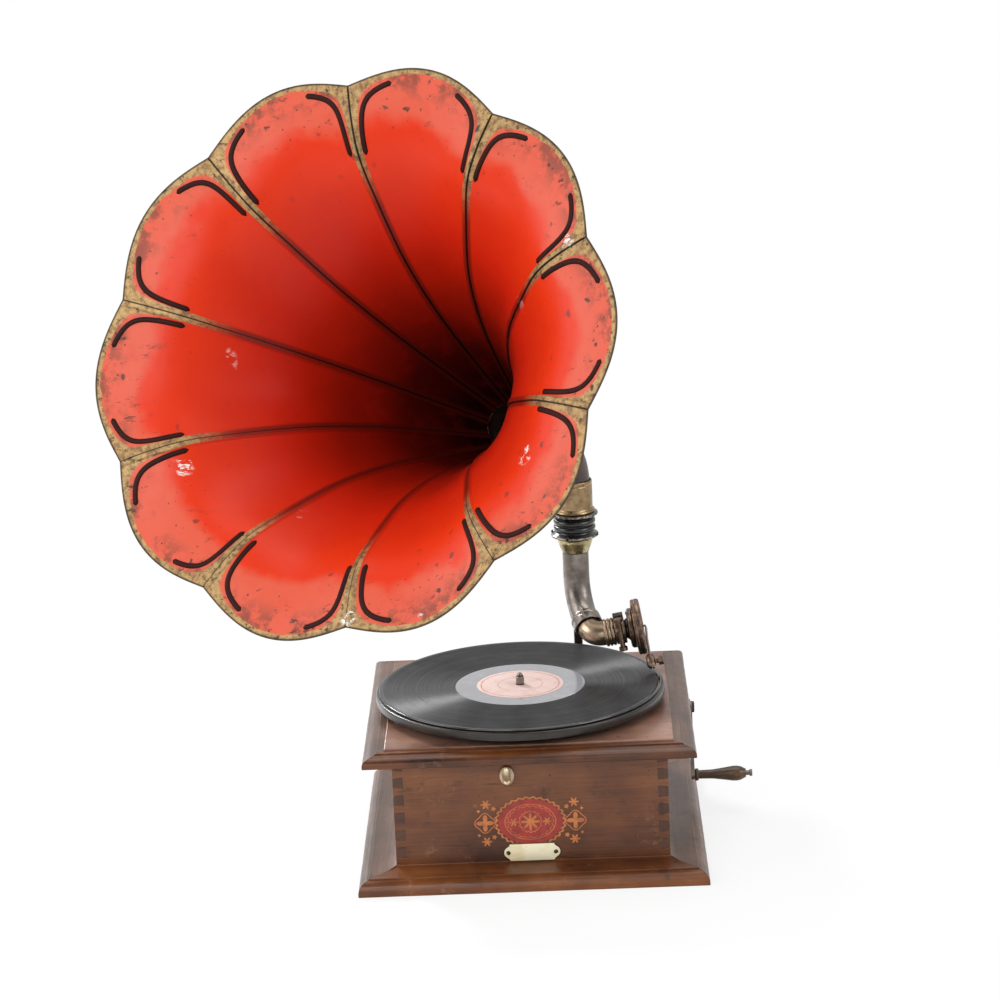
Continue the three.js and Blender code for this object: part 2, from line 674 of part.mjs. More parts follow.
function addSecondArbor() {
  const foot = motor.floor + running;
  const shaft = rod(arbor.radius - running, foot, plateTop - running, 16);
  const wheelTooth = bearing(secondAt, spindleAt);
  const pinionGap = bearing(secondAt, barrelAt) + halfStep(secondPinion);
  const pinionZ = greatWheel.z - (secondPinion.width - greatWheel.width) / 2;
  const wheel = spurWheel(secondWheel, secondWheel.z, wheelTooth);
  const pinion = spurWheel(secondPinion, pinionZ, pinionGap);
  add(model, 'second_arbor', join(shaft, wheel, pinion).translate(secondAt.x, secondAt.y, 0), motorBrass);
}

function addGovernor() {
  const axis = vector(1, 0, 0);
  const place = vector(0, governorY, wormWheel.z);
  const lugs = governor.lug - running;
  const shaft = rod(governor.shaft, governor.from - lugs, governor.to + lugs, 12);
  const wormFrom = spindleAt.x - worm.length / 2;
  const core = rod(worm.radius, wormFrom, wormFrom + worm.length, 12);
  const threads = [];
  for (let z = worm.pitch / 2; z < worm.length; z += worm.pitch) {
    threads.push(revolve([
      [0, wormFrom + z - worm.thread],
      [worm.radius, wormFrom + z - worm.thread],
      [worm.radius + worm.thread, wormFrom + z],
      [worm.radius, wormFrom + z + worm.thread],
      [0, wormFrom + z + worm.thread],
    ], 12));
  }
  const disc = rod(governor.discRadius, governor.disc, governor.disc + governor.discWidth, 20);
  add(model, 'governor_shaft', aim(join(shaft, core, ...threads, disc), axis, place), motorBrass);

  const { from, to, hub, hubLength, radius, reach, count, blade, bladeWidth } = balls;
  const bore = governor.shaft + glue;
  const hubs = [from, to - hubLength].map((z) => pipe(bore, hub, z, z + hubLength, 10));
  const middle = (from + to) / 2;
  const arms = [];
  for (let i = 0; i < count; i++) {
    const path = new BentPath([
      vector(hub - blade, 0, from + hubLength / 2),
      vector(reach, 0, from + hubLength / 2 + radius),
      vector(reach, 0, to - hubLength / 2 - radius),
      vector(hub - blade, 0, to - hubLength / 2),
    ], blade);
    const strip = barAlong(path, [
      [-bladeWidth / 2, -blade / 2],
      [bladeWidth / 2, -blade / 2],
      [bladeWidth / 2, blade / 2],
      [-bladeWidth / 2, blade / 2],
    ], 4);
    const ball = new THREE.SphereGeometry(radius, 7, 4).translate(reach, 0, middle);
    arms.push(join(strip, ball).rotateZ((turn * i) / count));
  }
  add(model, 'governor_balls', aim(join(...hubs, ...arms), axis, place), motorBrass);
}

// Winding crank

function addCrank() {
  const axis = vector(1, 0, 0);
  const place = vector(0, crankAt.y, crankAt.z);
  const shaftEnd = crank.armX + crank.arm + seat;
  const pinion = spurWheel(crankPinion, crank.end, -Math.PI / 2);
  const shaft = rod(crank.shaft, crank.end, shaftEnd);
  add(model, 'crank_shaft', join(pinion, shaft).rotateY(Math.PI / 2)
    .translate(place.x, place.y, place.z), greySteel);

  const face = box.width / 2;
  const bush = revolve([
    [crank.shaft + running, face + glue],
    [escutcheon.radius, face + glue],
    [escutcheon.radius, face + escutcheon.plate / 2],
    [escutcheon.radius - escutcheon.plate / 2, face + escutcheon.plate],
    [escutcheon.boss, face + escutcheon.plate],
    [escutcheon.boss - escutcheon.plate / 2, face + escutcheon.bossLength],
    [crank.shaft + running, face + escutcheon.bossLength],
    [crank.shaft + running, face + glue],
  ], 15);
  add(model, 'crank_escutcheon', aim(bush, axis, place), brass);

  const swing = radians(crank.swing);
  const along = vector(0, Math.sin(swing), -Math.cos(swing));
  const halfWidth = crank.armWidth / 2;
  const halfEnd = crank.endWidth / 2;
  const outline = [
    ...arcPoints(0, 0, halfWidth, halfWidth, Math.PI / 2, (3 * Math.PI) / 2, 5),
    ...arcPoints(crank.reach, 0, halfEnd, halfEnd, -Math.PI / 2, Math.PI / 2, 5),
  ];
  const bar = extrude(outline, crank.arm);
  const across = new THREE.Vector3().crossVectors(axis, along);
  bar.applyMatrix4(new THREE.Matrix4().makeBasis(along, across, axis));
  bar.translate(crank.armX, place.y, place.z);
  const sleeveFrom = face + escutcheon.bossLength + running;
  const sleeve = rod(crank.sleeve, sleeveFrom, crank.armX + crank.arm / 2, 16);
  const shaftBore = rod(crank.shaft + glue, sleeveFrom - overrun, shaftEnd + overrun, 16);
  const end = place.clone().addScaledVector(along, crank.reach);
  const pinEnd = crank.armX + crank.arm + handle.start + handle.length;
  const pin = rod(handle.pin, crank.armX + crank.arm / 2, pinEnd, 12);
  const head = rod(handle.pinHead, pinEnd + running, pinEnd + running + handle.tip, 12);
  const pinThrough = rod(handle.pin, pinEnd - overrun, pinEnd + running + overrun / 2, 12);
  const arm = cut(join(bar, aim(sleeve, axis, place)), aim(shaftBore, axis, place));
  const handlePin = aim(join(pin, pinThrough, head), axis, vector(0, end.y, end.z));
  add(model, 'crank_arm', join(arm, handlePin), greySteel);

  const from = crank.armX + crank.arm + running;
  const at = (share) => from + handle.start + share * (handle.length - handle.start);
  const bore = handle.pin + running;
  const grip = revolve([
    [bore, from],
    [handle.flange, from],
    [handle.flange, from + handle.start],
    ...Object.keys(gripRadii).map((ring) => [gripRadii[ring], at(gripLengthShares[ring])]),
    [bore + handle.tip / 2, at(1)],
    [bore, at(1)],
    [bore, from],
  ], 13);
  add(model, 'crank_handle', aim(grip, axis, vector(0, end.y, end.z)), walnutDark);
}

// Start lever and brake

function addStartLever() {
  const outwards = vector(0, -1, 0);
  const face = box.depth / 2;
  const place = vector(leverAt.x, 0, leverAt.z);
  const bore = lever.shaft + running;
  const rosette = revolve([
    [bore, face + glue],
    [lever.rosette, face + glue],
    [lever.rosette, face + lever.rosettePlate],
    [lever.rosette - lever.dome, face + lever.rosettePlate + lever.dome / 2],
    [bore + lever.dome, face + lever.rosettePlate + lever.dome],
    [bore, face + lever.rosettePlate + lever.dome],
    [bore, face + glue],
  ], 13);
  add(model, 'start_lever_rosette', aim(rosette, outwards, place), leverBrass);

  const inner = face - box.board - lever.inside;
  const ballAt = face + lever.rosettePlate + lever.dome + lever.ball + running;
  const shaft = aim(rod(lever.shaft, inner, ballAt, 14), outwards, place);
  const centre = vector(leverAt.x, -ballAt, leverAt.z);
  const ball = new THREE.SphereGeometry(lever.ball, 10, 6).translate(centre.x, centre.y, centre.z);
  const { length, neck: thin, body, bodyStart, nose, collar: ringRadius } = bullet;
  const knob = revolve([
    [0, 0],
    [thin, 0],
    [thin, bodyStart - thin],
    [ringRadius, bodyStart - thin / 2],
    [body, bodyStart],
    [body, length - nose],
    [bullet.noseMiddle, length - nose / 2],
    [bullet.noseEnd, length - bullet.tip],
    [0, length],
  ], 12);
  const tilt = radians(lever.tilt);
  const leaning = vector(0, -Math.cos(tilt), Math.sin(tilt));
  add(model, 'start_lever', join(shaft, ball, aim(knob, leaning, centre)), leverBrass);

  // The rod leaves the shaft's inner end, drops beside the motor and ends at the governor's disc.
  const start = -inner + brake.rod;
  const padX = governor.disc + governor.discWidth + running + brake.pad / 2;
  const padY = governorY - governor.discRadius + brake.padDepth / 2;
  const path = new BentPath([
    vector(leverAt.x, start, leverAt.z),
    vector(leverAt.x, start + brake.run, leverAt.z),
    vector(padX, start + brake.run + brake.drift, wormWheel.z),
    vector(padX, padY, wormWheel.z),
  ], brake.bend);
  const wire = barAlong(path, roundOutline(brake.rod, 6), 20);
  const pad = block(
    padX - brake.pad / 2, padX + brake.pad / 2, padY - brake.padDepth, padY + brake.padDepth / 2,
    wormWheel.z - brake.pad, wormWheel.z + brake.pad,
  );
  add(model, 'brake_rod', join(wire, pad), greySteel);
}

// Bracket and ring

function addBracket() {
  const { bottom, top, flange, flangeHeight, groove, bore } = ring;
  const { chamfer } = ring;
  const body = revolve([
    [bore, bottom],
    [flange - chamfer, bottom],
    [flange, bottom + chamfer],
    [flange, bottom + flangeHeight - chamfer],
    [flange - chamfer, bottom + flangeHeight],
    [groove, bottom + flangeHeight],
    [groove, top - flangeHeight],
    [flange - chamfer, top - flangeHeight],
    [flange, top - flangeHeight + chamfer],
    [flange, top - chamfer],
    [flange - chamfer, top],
    [bore, top],
    [bore, bottom],
  ], 20);
  add(model, 'bracket_ring', body.translate(pivot.x, pivot.y, 0), blackIron);

  const middle = (bottom + top) / 2;
  const back = box.depth / 2 + glue + foot.thickness;
  const path = new BentPath([
    vector(pivot.x, back - foot.thickness / 2, bracket.rise),
    vector(pivot.x, bracket.stand, bracket.rise),
    vector(pivot.x, bracket.stand, middle),
    vector(pivot.x, pivot.y + groove + glue, middle),
  ], bracket.bend);
  const [w, t] = [bracket.width / 2, bracket.thickness / 2];
  const { bevel } = bracket;
  const bar = barAlong(path, [
    [-w, -t + bevel], [-w + bevel, -t], [w - bevel, -t], [w, -t + bevel],
    [w, t - bevel], [w - bevel, t], [-w + bevel, t], [-w, t - bevel],
  ], 17);
  const clear = rod(groove + glue, bottom - overrun, top + overrun, 24).translate(pivot.x, pivot.y, 0);
  add(model, 'horn_bracket', cut(join(bar, footPlate(back)), clear), blackIron);
}

// Foot: a rounded plate on the back board, with a boss for the bar.
function footPlate(back) {
  const radius = foot.corner;
  const [w, h] = [foot.width / 2 - radius, foot.height / 2 - radius];
  const quarter = Math.PI / 2;
  const outline = [[w, h, 0], [-w, h, 1], [-w, -h, 2], [w, -h, 3]].flatMap(([x, y, i]) =>
    arcPoints(x, y, radius, radius, i * quarter, (i + 1) * quarter, 5));
  const plate = extrude(outline, foot.thickness).rotateX(Math.PI / 2)
    .translate(pivot.x, back, bracket.rise - foot.drop);
  const boss = revolve([
    [0, 0],
    [foot.bossFoot, 0],
    [foot.bossTop, foot.thickness],
    [0, foot.thickness],
  ], 20);
  return join(plate, aim(boss, vector(0, 1, 0), vector(pivot.x, back - glue, bracket.rise)));
}

// Tone arm

const armDown = radians(tube.down);
const armYaw = radians(tube.yaw);
const armDirection = vector(
  Math.sin(armYaw) * Math.cos(armDown), -Math.cos(armYaw) * Math.cos(armDown), -Math.sin(armDown),
);
const armTop = ring.bottom - running;
const armCorner = vector(pivot.x, pivot.y, armTop - cup.height - tube.drop + tube.joint);
const armJoint = armCorner.clone().addScaledVector(armDirection, tube.joint);
const elbowRise = radians(elbow.rise);
const boxAxis = vector(Math.cos(elbowRise), 0, Math.sin(elbowRise));

function addToneArm() {
  const inner = cup.spigot - cup.wall;
  const cupBottom = armTop - cup.height;
  const shape = revolve([
    [tube.radius - tube.wall, cupBottom],
    [cup.neck + seat, cupBottom],
    [cup.radius - cup.wall, cupBottom + cup.height / 2],
    [cup.radius, armTop - cup.rimHeight],
    [cup.radius, armTop],
    [cup.spigot, armTop],
    [cup.spigot, (ring.bottom + ring.top) / 2 - running],
    [inner, (ring.bottom + ring.top) / 2 - running],
    [inner, cupBottom + cup.height / 2],
    [tube.radius - tube.wall, cupBottom],
  ], 18);
  add(model, 'arm_cup', shape.translate(pivot.x, pivot.y, 0), brass);

  const top = vector(pivot.x, pivot.y, cupBottom - seat);
  const path = new BentPath([top, armCorner, armJoint], tube.bend);
  add(model, 'arm_tube', hollowTube(path, () => tube.radius, tube.wall, 9, 14), greySteel);

  const bandPath = new THREE.LineCurve3(
    armJoint.clone().addScaledVector(armDirection, -band.back),
    armJoint.clone().addScaledVector(armDirection, band.ahead),
  );
  const sleeveWall = band.radius - tube.radius - band.ease;
  add(model, 'arm_band', hollowTube(bandPath, () => band.radius, sleeveWall, 1, 18), brass);
}

const elbowStart = armJoint.clone().addScaledVector(armDirection, seat);
const elbowCorner = armJoint.clone().addScaledVector(armDirection, elbow.inlet);
const boxCentre = elbowCorner.clone().addScaledVector(boxAxis, soundBox.at);
const elbowEnd = elbowCorner.clone().addScaledVector(boxAxis, elbow.outlet);

function addElbow() {
  const path = new BentPath([elbowStart, elbowCorner, elbowEnd], elbow.bend);
  const pipeBody = hollowTube(path, () => elbow.radius, elbow.wall, 5, 12);
  const { beads, bead, beadRadius, outlet, radius, wall } = elbow;
  const [groove, inside] = [radius + wall / 2, radius - wall / 2];
  const foot = outlet - 2 * beads * beadRadius;
  const profile = [[inside, foot]];
  for (let i = 0; i < beads; i++) {
    const z = foot + (2 * i + 1) * beadRadius;
    profile.push([groove, z - beadRadius], [bead, z - beadRadius / 2], [bead, z + beadRadius / 2]);
  }
  profile.push([groove, outlet], [inside, outlet], [inside, foot]);
  const beading = aim(revolve(profile, 12), boxAxis, elbowCorner);
  add(model, 'arm_elbow', join(pipeBody, beading), brass);

  // Fork: a split clamp on the elbow's end, drawn together by a vertical pin.
  const from = elbow.outlet + seat;
  const to = from + fork.length;
  const clamp = pipe(soundBox.bore, fork.outlet + seat, from, to, 14);
  const halfBlock = fork.block / 2;
  const lug = block(-fork.outlet - fork.wall, 0, -halfBlock, halfBlock, from, to);
  const bore = rod(soundBox.bore, from - overrun, to + overrun, 14);
  const pin = rod(fork.pin, -fork.height / 2, fork.height / 2, 10)
    .rotateY(Math.PI / 2)
    .translate(0, -fork.outlet - fork.pin / 2, (from + to) / 2);
  const heads = [-1, 1].map((side) => rod(fork.head, -fork.headHeight / 2, fork.headHeight / 2, 10)
    .rotateY(Math.PI / 2)
    .translate((side * fork.height) / 2, -fork.outlet - fork.pin / 2, (from + to) / 2));
  const body = cut(join(clamp, lug), bore);
  add(model, 'soundbox_fork', aimToBox(join(body, pin, ...heads), elbowCorner), brass);
}

// Places a shape made about +Z on the sound box's axis, with its -X turned to point up.
function aimToBox(geometry, place) {
  const across = vector(0, 1, 0);
  const raised = new THREE.Vector3().crossVectors(boxAxis, across);
  const basis = new THREE.Matrix4().makeBasis(raised.negate(), across, boxAxis);
  return geometry.applyMatrix4(basis).translate(place.x, place.y, place.z);
}

function addSoundBox() {
  const { radius, thickness, backRadius, back, wall, ring: lip, bore } = soundBox;
  const rimBack = -thickness / 2;
  const rimFront = thickness / 2;
  const backPlate = revolve([
    [bore, rimBack - back],
    [backRadius - wall, rimBack - back],
    [backRadius, rimBack - back + wall],
    [backRadius, rimBack - seat],
    [bore, rimBack - seat],
    [bore, rimBack - back],
  ], 18);
  add(model, 'soundbox_back', aimToBox(backPlate, boxCentre), bronze);
  const body = revolve([
    [bore, rimBack],
    [radius - wall, rimBack],
    [radius, rimBack + wall],
    [radius, rimFront - wall],
    [radius - wall, rimFront],
    [radius - wall - lip, rimFront],
    [radius - wall - lip, rimFront - wall],
    [radius - wall, rimFront - wall],
    [radius - wall, rimBack + wall],
    [bore, rimBack + wall],
    [bore, rimBack],
  ], 24);
  add(model, 'soundbox_body', aimToBox(body, boxCentre), bronze);
  const sheetAt = rimFront - wall - seat - diaphragm.thickness;
  const sheet = revolve([
    [0, sheetAt],
    [diaphragm.radius, sheetAt],
    [diaphragm.radius, sheetAt + diaphragm.thickness],
    [diaphragm.boss, sheetAt + diaphragm.thickness],
    [diaphragm.boss, sheetAt + diaphragm.thickness + diaphragm.bossHeight],
    [0, sheetAt + diaphragm.thickness + diaphragm.bossHeight],
  ], 20);
  add(model, 'diaphragm', aimToBox(sheet, boxCentre), mica);
  addStylus(rimFront, sheetAt + diaphragm.thickness + diaphragm.bossHeight);
}

// The lever leaves the boss, crosses the rim and carries the chuck, which holds the needle.
function addStylus(rimFront, bossTop) {
  const angle = radians(stylus.angle);
  const raised = new THREE.Vector3().crossVectors(boxAxis, vector(0, 1, 0));
  const downwards = vector(0, -Math.cos(angle), 0).addScaledVector(raised, Math.sin(angle));
  const onBox = (outwards, along) => boxCentre.clone()
    .addScaledVector(boxAxis, outwards)
    .addScaledVector(downwards, along);
  const lift = rimFront + stylus.rod + seat;
  const path = new BentPath([
    onBox(bossTop + seat, 0),
    onBox(lift + stylus.rod, 0),
    onBox(lift, soundBox.radius / 2),
    onBox(lift, chuck.at),
  ], stylus.rod);
  add(model, 'stylus_lever', barAlong(path, roundOutline(stylus.rod, 8), 12), greySteel);

  const chuckTop = chuck.at + seat;
  const chuckOut = lift;
  const chuckPlace = onBox(chuckOut, chuckTop);
  const bore = needle.radius + glue;
  const clamp = revolve([
    [bore, 0],
    [chuck.top, 0],
    [chuck.radius, chuck.topLength],
    [chuck.radius, chuck.length - chuck.footLength],
    [chuck.foot, chuck.length],
    [bore, chuck.length],
    [bore, 0],
  ], 12);
  add(model, 'needle_chuck', aim(clamp, downwards, chuckPlace), bronze);
  const screwPlace = onBox(chuckOut, chuckTop + stylus.screwAt);
  const headFrom = chuck.radius + stylus.screwLength;
  const screw = revolve([
    [0, chuck.radius + seat],
    [stylus.screw, chuck.radius + seat],
    [stylus.screw, headFrom],
    [stylus.head, headFrom],
    [stylus.head, headFrom + stylus.headLength],
    [0, headFrom + stylus.headLength],
  ], 10);
  add(model, 'needle_screw', aim(screw, boxAxis, screwPlace), brass);
  const tipAlong = needleReach(onBox, downwards, chuckOut);
  const tipFrom = tipAlong - needle.length;
  const pin = revolve([
    [0, 0],
    [needle.radius, 0],
    [needle.radius, needle.length - needle.taper],
    [needle.tip, needle.length],
    [0, needle.length],
  ], 8);
  add(model, 'needle', aim(pin, downwards, onBox(chuckOut, tipFrom)), greySteel);
}

// How far along its slope the needle's point comes down to the record.
function needleReach(onBox, downwards, outwards) {
  const start = onBox(outwards, 0);
  return (start.z - record.top - needle.above) / -downwards.z;
}

// Horn

const hornYaw = radians(horn.yaw);
const hornPitch = radians(horn.pitch);
const hornAxis = vector(
  Math.sin(hornYaw) * Math.cos(hornPitch), -Math.cos(hornYaw) * Math.cos(hornPitch), Math.sin(hornPitch),
);
const hornAcross = vector(Math.cos(hornYaw), Math.sin(hornYaw), 0);
const hornCorner = vector(pivot.x, pivot.y, horn.height);

// The horn's own frame: z runs along its axis from the corner to the mouth.
const hornFrame = new THREE.Group();
hornFrame.applyMatrix4(new THREE.Matrix4()
  .makeBasis(hornAcross, new THREE.Vector3().crossVectors(hornAxis, hornAcross), hornAxis)
  .setPosition(hornCorner));

const seamCurve = new THREE.SplineCurve([
  ...bellShares.map(([depth, radius]) => new THREE.Vector2(depth * bell.depth, radius * bell.mouth)),
  new THREE.Vector2(bell.depth, bell.throat),
]);

// Rows are close together at the lip, where the bell turns most.
const petalRows = 8;
const rowPower = 1.25;
const rowShare = (i) => (i / petalRows) ** rowPower;

// The visible face of a petal at a row, an angle from its middle and a distance proud of the sheet.
function petalPoint(row, angle, proud) {
  const { x: depth, y: radius } = seamCurve.getPoint(rowShare(row));
  const ahead = seamCurve.getPoint(Math.min(rowShare(row) + slopeStepShare, 1));
  const behind = seamCurve.getPoint(Math.max(rowShare(row) - slopeStepShare, 0));
  const slope = ahead.sub(behind).normalize();
  const half = Math.PI / horn.petals;
  const chord = (radius * Math.cos(half)) / Math.cos(angle);
  const circle = radius - radius * Math.cos(half);
  const lobeRise = bell.lobe - bell.mouth;
  const fade = Math.exp(-depth / (lobeDecayShare * bell.depth));
  const crownRise = roundShare * circle + (lobeRise + (1 - roundShare) * circle) * fade;
  const out = chord + crownRise * Math.cos((angle / half) * (Math.PI / 2));
  const r = out - proud * slope.x;
  const z = horn.length - depth - proud * slope.y;
  return [r, z];
}

function addPetal(number) {
  const half = Math.PI / horn.petals;
  const middle = radians(horn.phase) + (number + 1 / 2) * 2 * half;
  const insets = [0, seam.width, seam.width + seam.fillet];
  const shares = [-0.5, 0, 0.5, 1];
  const columns = insets.length + shares.length;
  const outside = [];
  const inside = [];
  for (let row = 0; row <= petalRows; row++) {
    const radius = seamCurve.getPoint(rowShare(row)).y;
    const limit = half - seam.gap / 2 / radius;
    const angles = [
      ...insets.map((inset) => inset / radius - limit),
      ...shares.map((share) => share * limit),
    ];
    angles.forEach((angle, column) => {
      const ridge = column < insets.length - 1 ? seam.ridge : 0;
      inside.push(placed(petalPoint(row, angle, ridge), middle + angle));
      outside.push(placed(petalPoint(row, angle, -bell.wall), middle + angle));
    });
  }
  return shell(inside, outside, petalRows + 1, columns);
}

const placed = ([r, z], angle) => vector(r * Math.cos(angle), r * Math.sin(angle), z);

// A closed sheet from two grids of points, rows by columns: the face, its back and the edge between.
function shell(face, back, rows, columns) {
  const positions = [...face, ...back].flatMap((p) => [p.x, p.y, p.z]);
  const index = [];
  const offset = face.length;
  const quad = (a, b, c, d) => index.push(a, b, c, a, c, d);
  for (let i = 0; i < rows - 1; i++) {
    for (let j = 0; j < columns - 1; j++) {
      const a = i * columns + j;
      quad(a, a + 1, a + columns + 1, a + columns);
      quad(offset + a, offset + a + columns, offset + a + columns + 1, offset + a + 1);
    }
  }
  const edge = [];
  for (let j = 0; j < columns - 1; j++) edge.push(j);
  for (let i = 0; i < rows - 1; i++) edge.push(i * columns + columns - 1);
  for (let j = columns - 1; j > 0; j--) edge.push((rows - 1) * columns + j);
  for (let i = rows - 1; i > 0; i--) edge.push(i * columns);
  edge.forEach((a, k) => {
    const b = edge[(k + 1) % edge.length];
    quad(a, offset + a, offset + b, b);
  });
  const geometry = new THREE.BufferGeometry();
  geometry.setAttribute('position', new THREE.Float32BufferAttribute(positions, 3));
  return geometry.setIndex(index);
}

function addHorn() {
  for (let i = 0; i < horn.petals; i++) {
    add(hornFrame, `horn_petal_${i + 1}`, addPetal(i), redPaint);
  }
  const throatTop = horn.length - bell.depth - seam.gap;
  const throatEnd = throatTop - throat.length;
  const cone = revolve([
    [neck.radius + throat.wall, throatEnd],
    [bell.throat + bell.wall, throatTop],
    [bell.throat + bell.wall - throat.wall, throatTop],
    [neck.radius, throatEnd],
    [neck.radius + throat.wall, throatEnd],
  ], 20);
  add(hornFrame, 'horn_throat', cone, brownPaint);
  model.add(hornFrame);

  const start = hornCorner.clone().addScaledVector(hornAxis, throatEnd - seat);
  const end = vector(pivot.x, pivot.y, ring.top + running + collar.lipHeight + seat);
  const path = new BentPath([start, hornCorner, end], neck.bend);
  add(model, 'horn_elbow', hollowTube(path, () => neck.radius, neck.wall, 9, 16), brownPaint);

  const base = ring.top + running;
  const inner = neck.radius + collar.ease;
  const bore = collar.spigotRadius - collar.lipHeight / 2;
  const sleeve = revolve([
    [bore, base - collar.spigot],
    [collar.spigotRadius, base - collar.spigot],
    [collar.spigotRadius, base],
    [collar.lip, base],
    [collar.lip, base + collar.lipHeight / 2],
    [collar.radius, base + collar.lipHeight],
    [collar.radius, base + collar.height],
    [inner, base + collar.height],
    [inner, base + collar.lipHeight],
    [bore, base + collar.lipHeight],
    [bore, base - collar.spigot],
  ], 18);
  add(model, 'horn_collar', sleeve.translate(pivot.x, pivot.y, 0), brass);
}

addCase();
addTurntable();
addMotorFrame();
addBarrel();
addWindingArbor();
addSecondArbor();
addGovernor();
addCrank();
addStartLever();
addBracket();
addToneArm();
addElbow();
addSoundBox();
addHorn();

export default model;
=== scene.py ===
"""Dresses the horn gramophone: its surfaces, finishes, camera and studio.

Sizes are in millimetres in the row frame (+X right, -Y front, +Z up) and turn to metres in make_piece.
"""

import logging
import math
from collections.abc import Callable
from dataclasses import dataclass, field
from enum import Enum
from functools import cached_property

import bmesh
import bpy
import numpy as np
from mathutils import Matrix, Vector


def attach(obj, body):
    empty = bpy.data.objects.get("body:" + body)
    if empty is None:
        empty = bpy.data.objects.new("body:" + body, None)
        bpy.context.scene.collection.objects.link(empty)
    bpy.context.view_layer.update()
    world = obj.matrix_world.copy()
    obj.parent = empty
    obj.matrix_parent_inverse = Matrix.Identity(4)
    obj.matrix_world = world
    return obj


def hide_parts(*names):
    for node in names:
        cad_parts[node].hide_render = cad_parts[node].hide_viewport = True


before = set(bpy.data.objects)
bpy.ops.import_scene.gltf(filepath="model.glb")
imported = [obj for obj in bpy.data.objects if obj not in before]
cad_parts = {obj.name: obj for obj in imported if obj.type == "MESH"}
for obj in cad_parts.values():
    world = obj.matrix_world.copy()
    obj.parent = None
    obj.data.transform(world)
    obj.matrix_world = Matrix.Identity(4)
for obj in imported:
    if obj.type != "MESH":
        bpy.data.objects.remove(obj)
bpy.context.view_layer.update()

log = logging.getLogger("gramophone")
MM = 0.001
TURN = 2 * math.pi
Array = np.ndarray
Part = tuple[Array, Array]
ORIGIN = np.zeros(3)
UPRIGHT = np.eye(3)


class Grain(Enum):
    """Direction in which a board's fibres run."""

    ACROSS = (1, 0, 0)
    DEEP = (0, 1, 0)


# Numbers and vectors


def vec(*values: float) -> Array:
    """Return the values as an array of floats."""
    return np.array(values, dtype=float)


def unit(vector: Array) -> Array:
    """Return vectors (last axis) at length one."""
    vector = np.asarray(vector, dtype=float)
    return vector / np.linalg.norm(vector, axis=-1, keepdims=True)


def smooth_step(low: float, high: float, value: Array) -> Array:
    """Return 0 below low, 1 above high and 3t^2 - 2t^3 between, t being the share of the way."""
    share = np.clip((np.asarray(value, dtype=float) - low) / (high - low), 0, 1)
    return share * share * (3 - 2 * share)


def basis(axis: Array, towards: Array) -> Array:
    """Return a right-handed frame as rows.

    Args:
        axis: the frame's Z.
        towards: a direction whose part square to the axis becomes the frame's X.

    Returns:
        A 3 x 3 array whose rows are X, Y and Z.
    """
    z = unit(axis)
    x = unit(np.asarray(towards, dtype=float) - np.dot(towards, z) * z)
    return np.stack([x, np.cross(z, x), z])


def catmull_rom(points: Array, share: Array) -> Array:
    """Return points of a uniform Catmull-Rom spline whose end points count twice.

    Args:
        points: the spline's n points.
        share: values from 0 to 1, spread evenly over the n - 1 spans.

    Returns:
        One point for each share.
    """
    place = np.clip(share, 0, 1) * (len(points) - 1)
    span = np.minimum(place.astype(int), len(points) - 1)
    t = (place - span)[..., None]
    last = len(points) - 1
    p0, p1, p2, p3 = (points[np.clip(span + k, 0, last)] for k in (-1, 0, 1, 2))
    v0, v1 = (p2 - p0) / 2, (p3 - p1) / 2
    return (2 * p1 - 2 * p2 + v0 + v1) * t**3 + (3 * p2 - 3 * p1 - 2 * v0 - v1) * t**2 + v0 * t + p1


def bent_path(corners: list[Array], radius: float, steps: int = 10) -> Array:
    """Return points of a path of straight runs whose corners are circular arcs.

    Args:
        corners: the points between which the runs go.
        radius: the arcs' radius.
        steps: points for each arc.

    Returns:
        The path's points in order.
    """
    points = [corners[0][None]]
    for before, corner, after in zip(corners, corners[1:], corners[2:]):
        into, out = unit(corner - before), unit(after - corner)
        angle = math.acos(float(np.clip(np.dot(into, out), -1, 1)))
        start = corner - into * radius * math.tan(angle / 2)
        inward = unit(out - into * np.dot(into, out))
        turn = np.linspace(0, angle, steps)[:, None]
        points.append(start + radius * (into * np.sin(turn) + inward * (1 - np.cos(turn))))
    points.append(corners[-1][None])
    return np.concatenate(points)


def fillet(profile: list[tuple[float, float]], radius: float, steps: int = 3) -> Array:
    """Round every inner corner of an open profile with a quadratic curve of that reach.

    Args:
        profile: the profile's corners.
        radius: how far from its corner a curve starts, at most 0.45 of the shorter side.
        steps: points for each curve.

    Returns:
        The rounded profile.
    """
    points = np.array(profile, dtype=float)
    kept = [points[:1]]
    t = np.linspace(0, 1, steps)[:, None]
    for before, corner, after in zip(points, points[1:], points[2:]):
        back, ahead = before - corner, after - corner
        reach = min(radius, 0.45 * np.linalg.norm(back), 0.45 * np.linalg.norm(ahead))
        start, end = corner + reach * unit(back), corner + reach * unit(ahead)
        kept.append((1 - t) ** 2 * start + 2 * t * (1 - t) * corner + t**2 * end)
    kept.append(points[-1:])
    return np.concatenate(kept)


# Material nodes


def hex_colour(code: str) -> tuple[float, float, float, float]:
    """Turn an sRGB hex code into a linear colour.

    Args:
        code: the code, such as "#5E3A2E".

    Returns:
        Linear red, green, blue and alpha.
    """
    parts = [int(code[i : i + 2], 16) / 255 for i in (1, 3, 5)]
    linear = [p / 12.92 if p <= 0.04045 else ((p + 0.055) / 1.055) ** 2.4 for p in parts]
    return (*linear, 1.0)


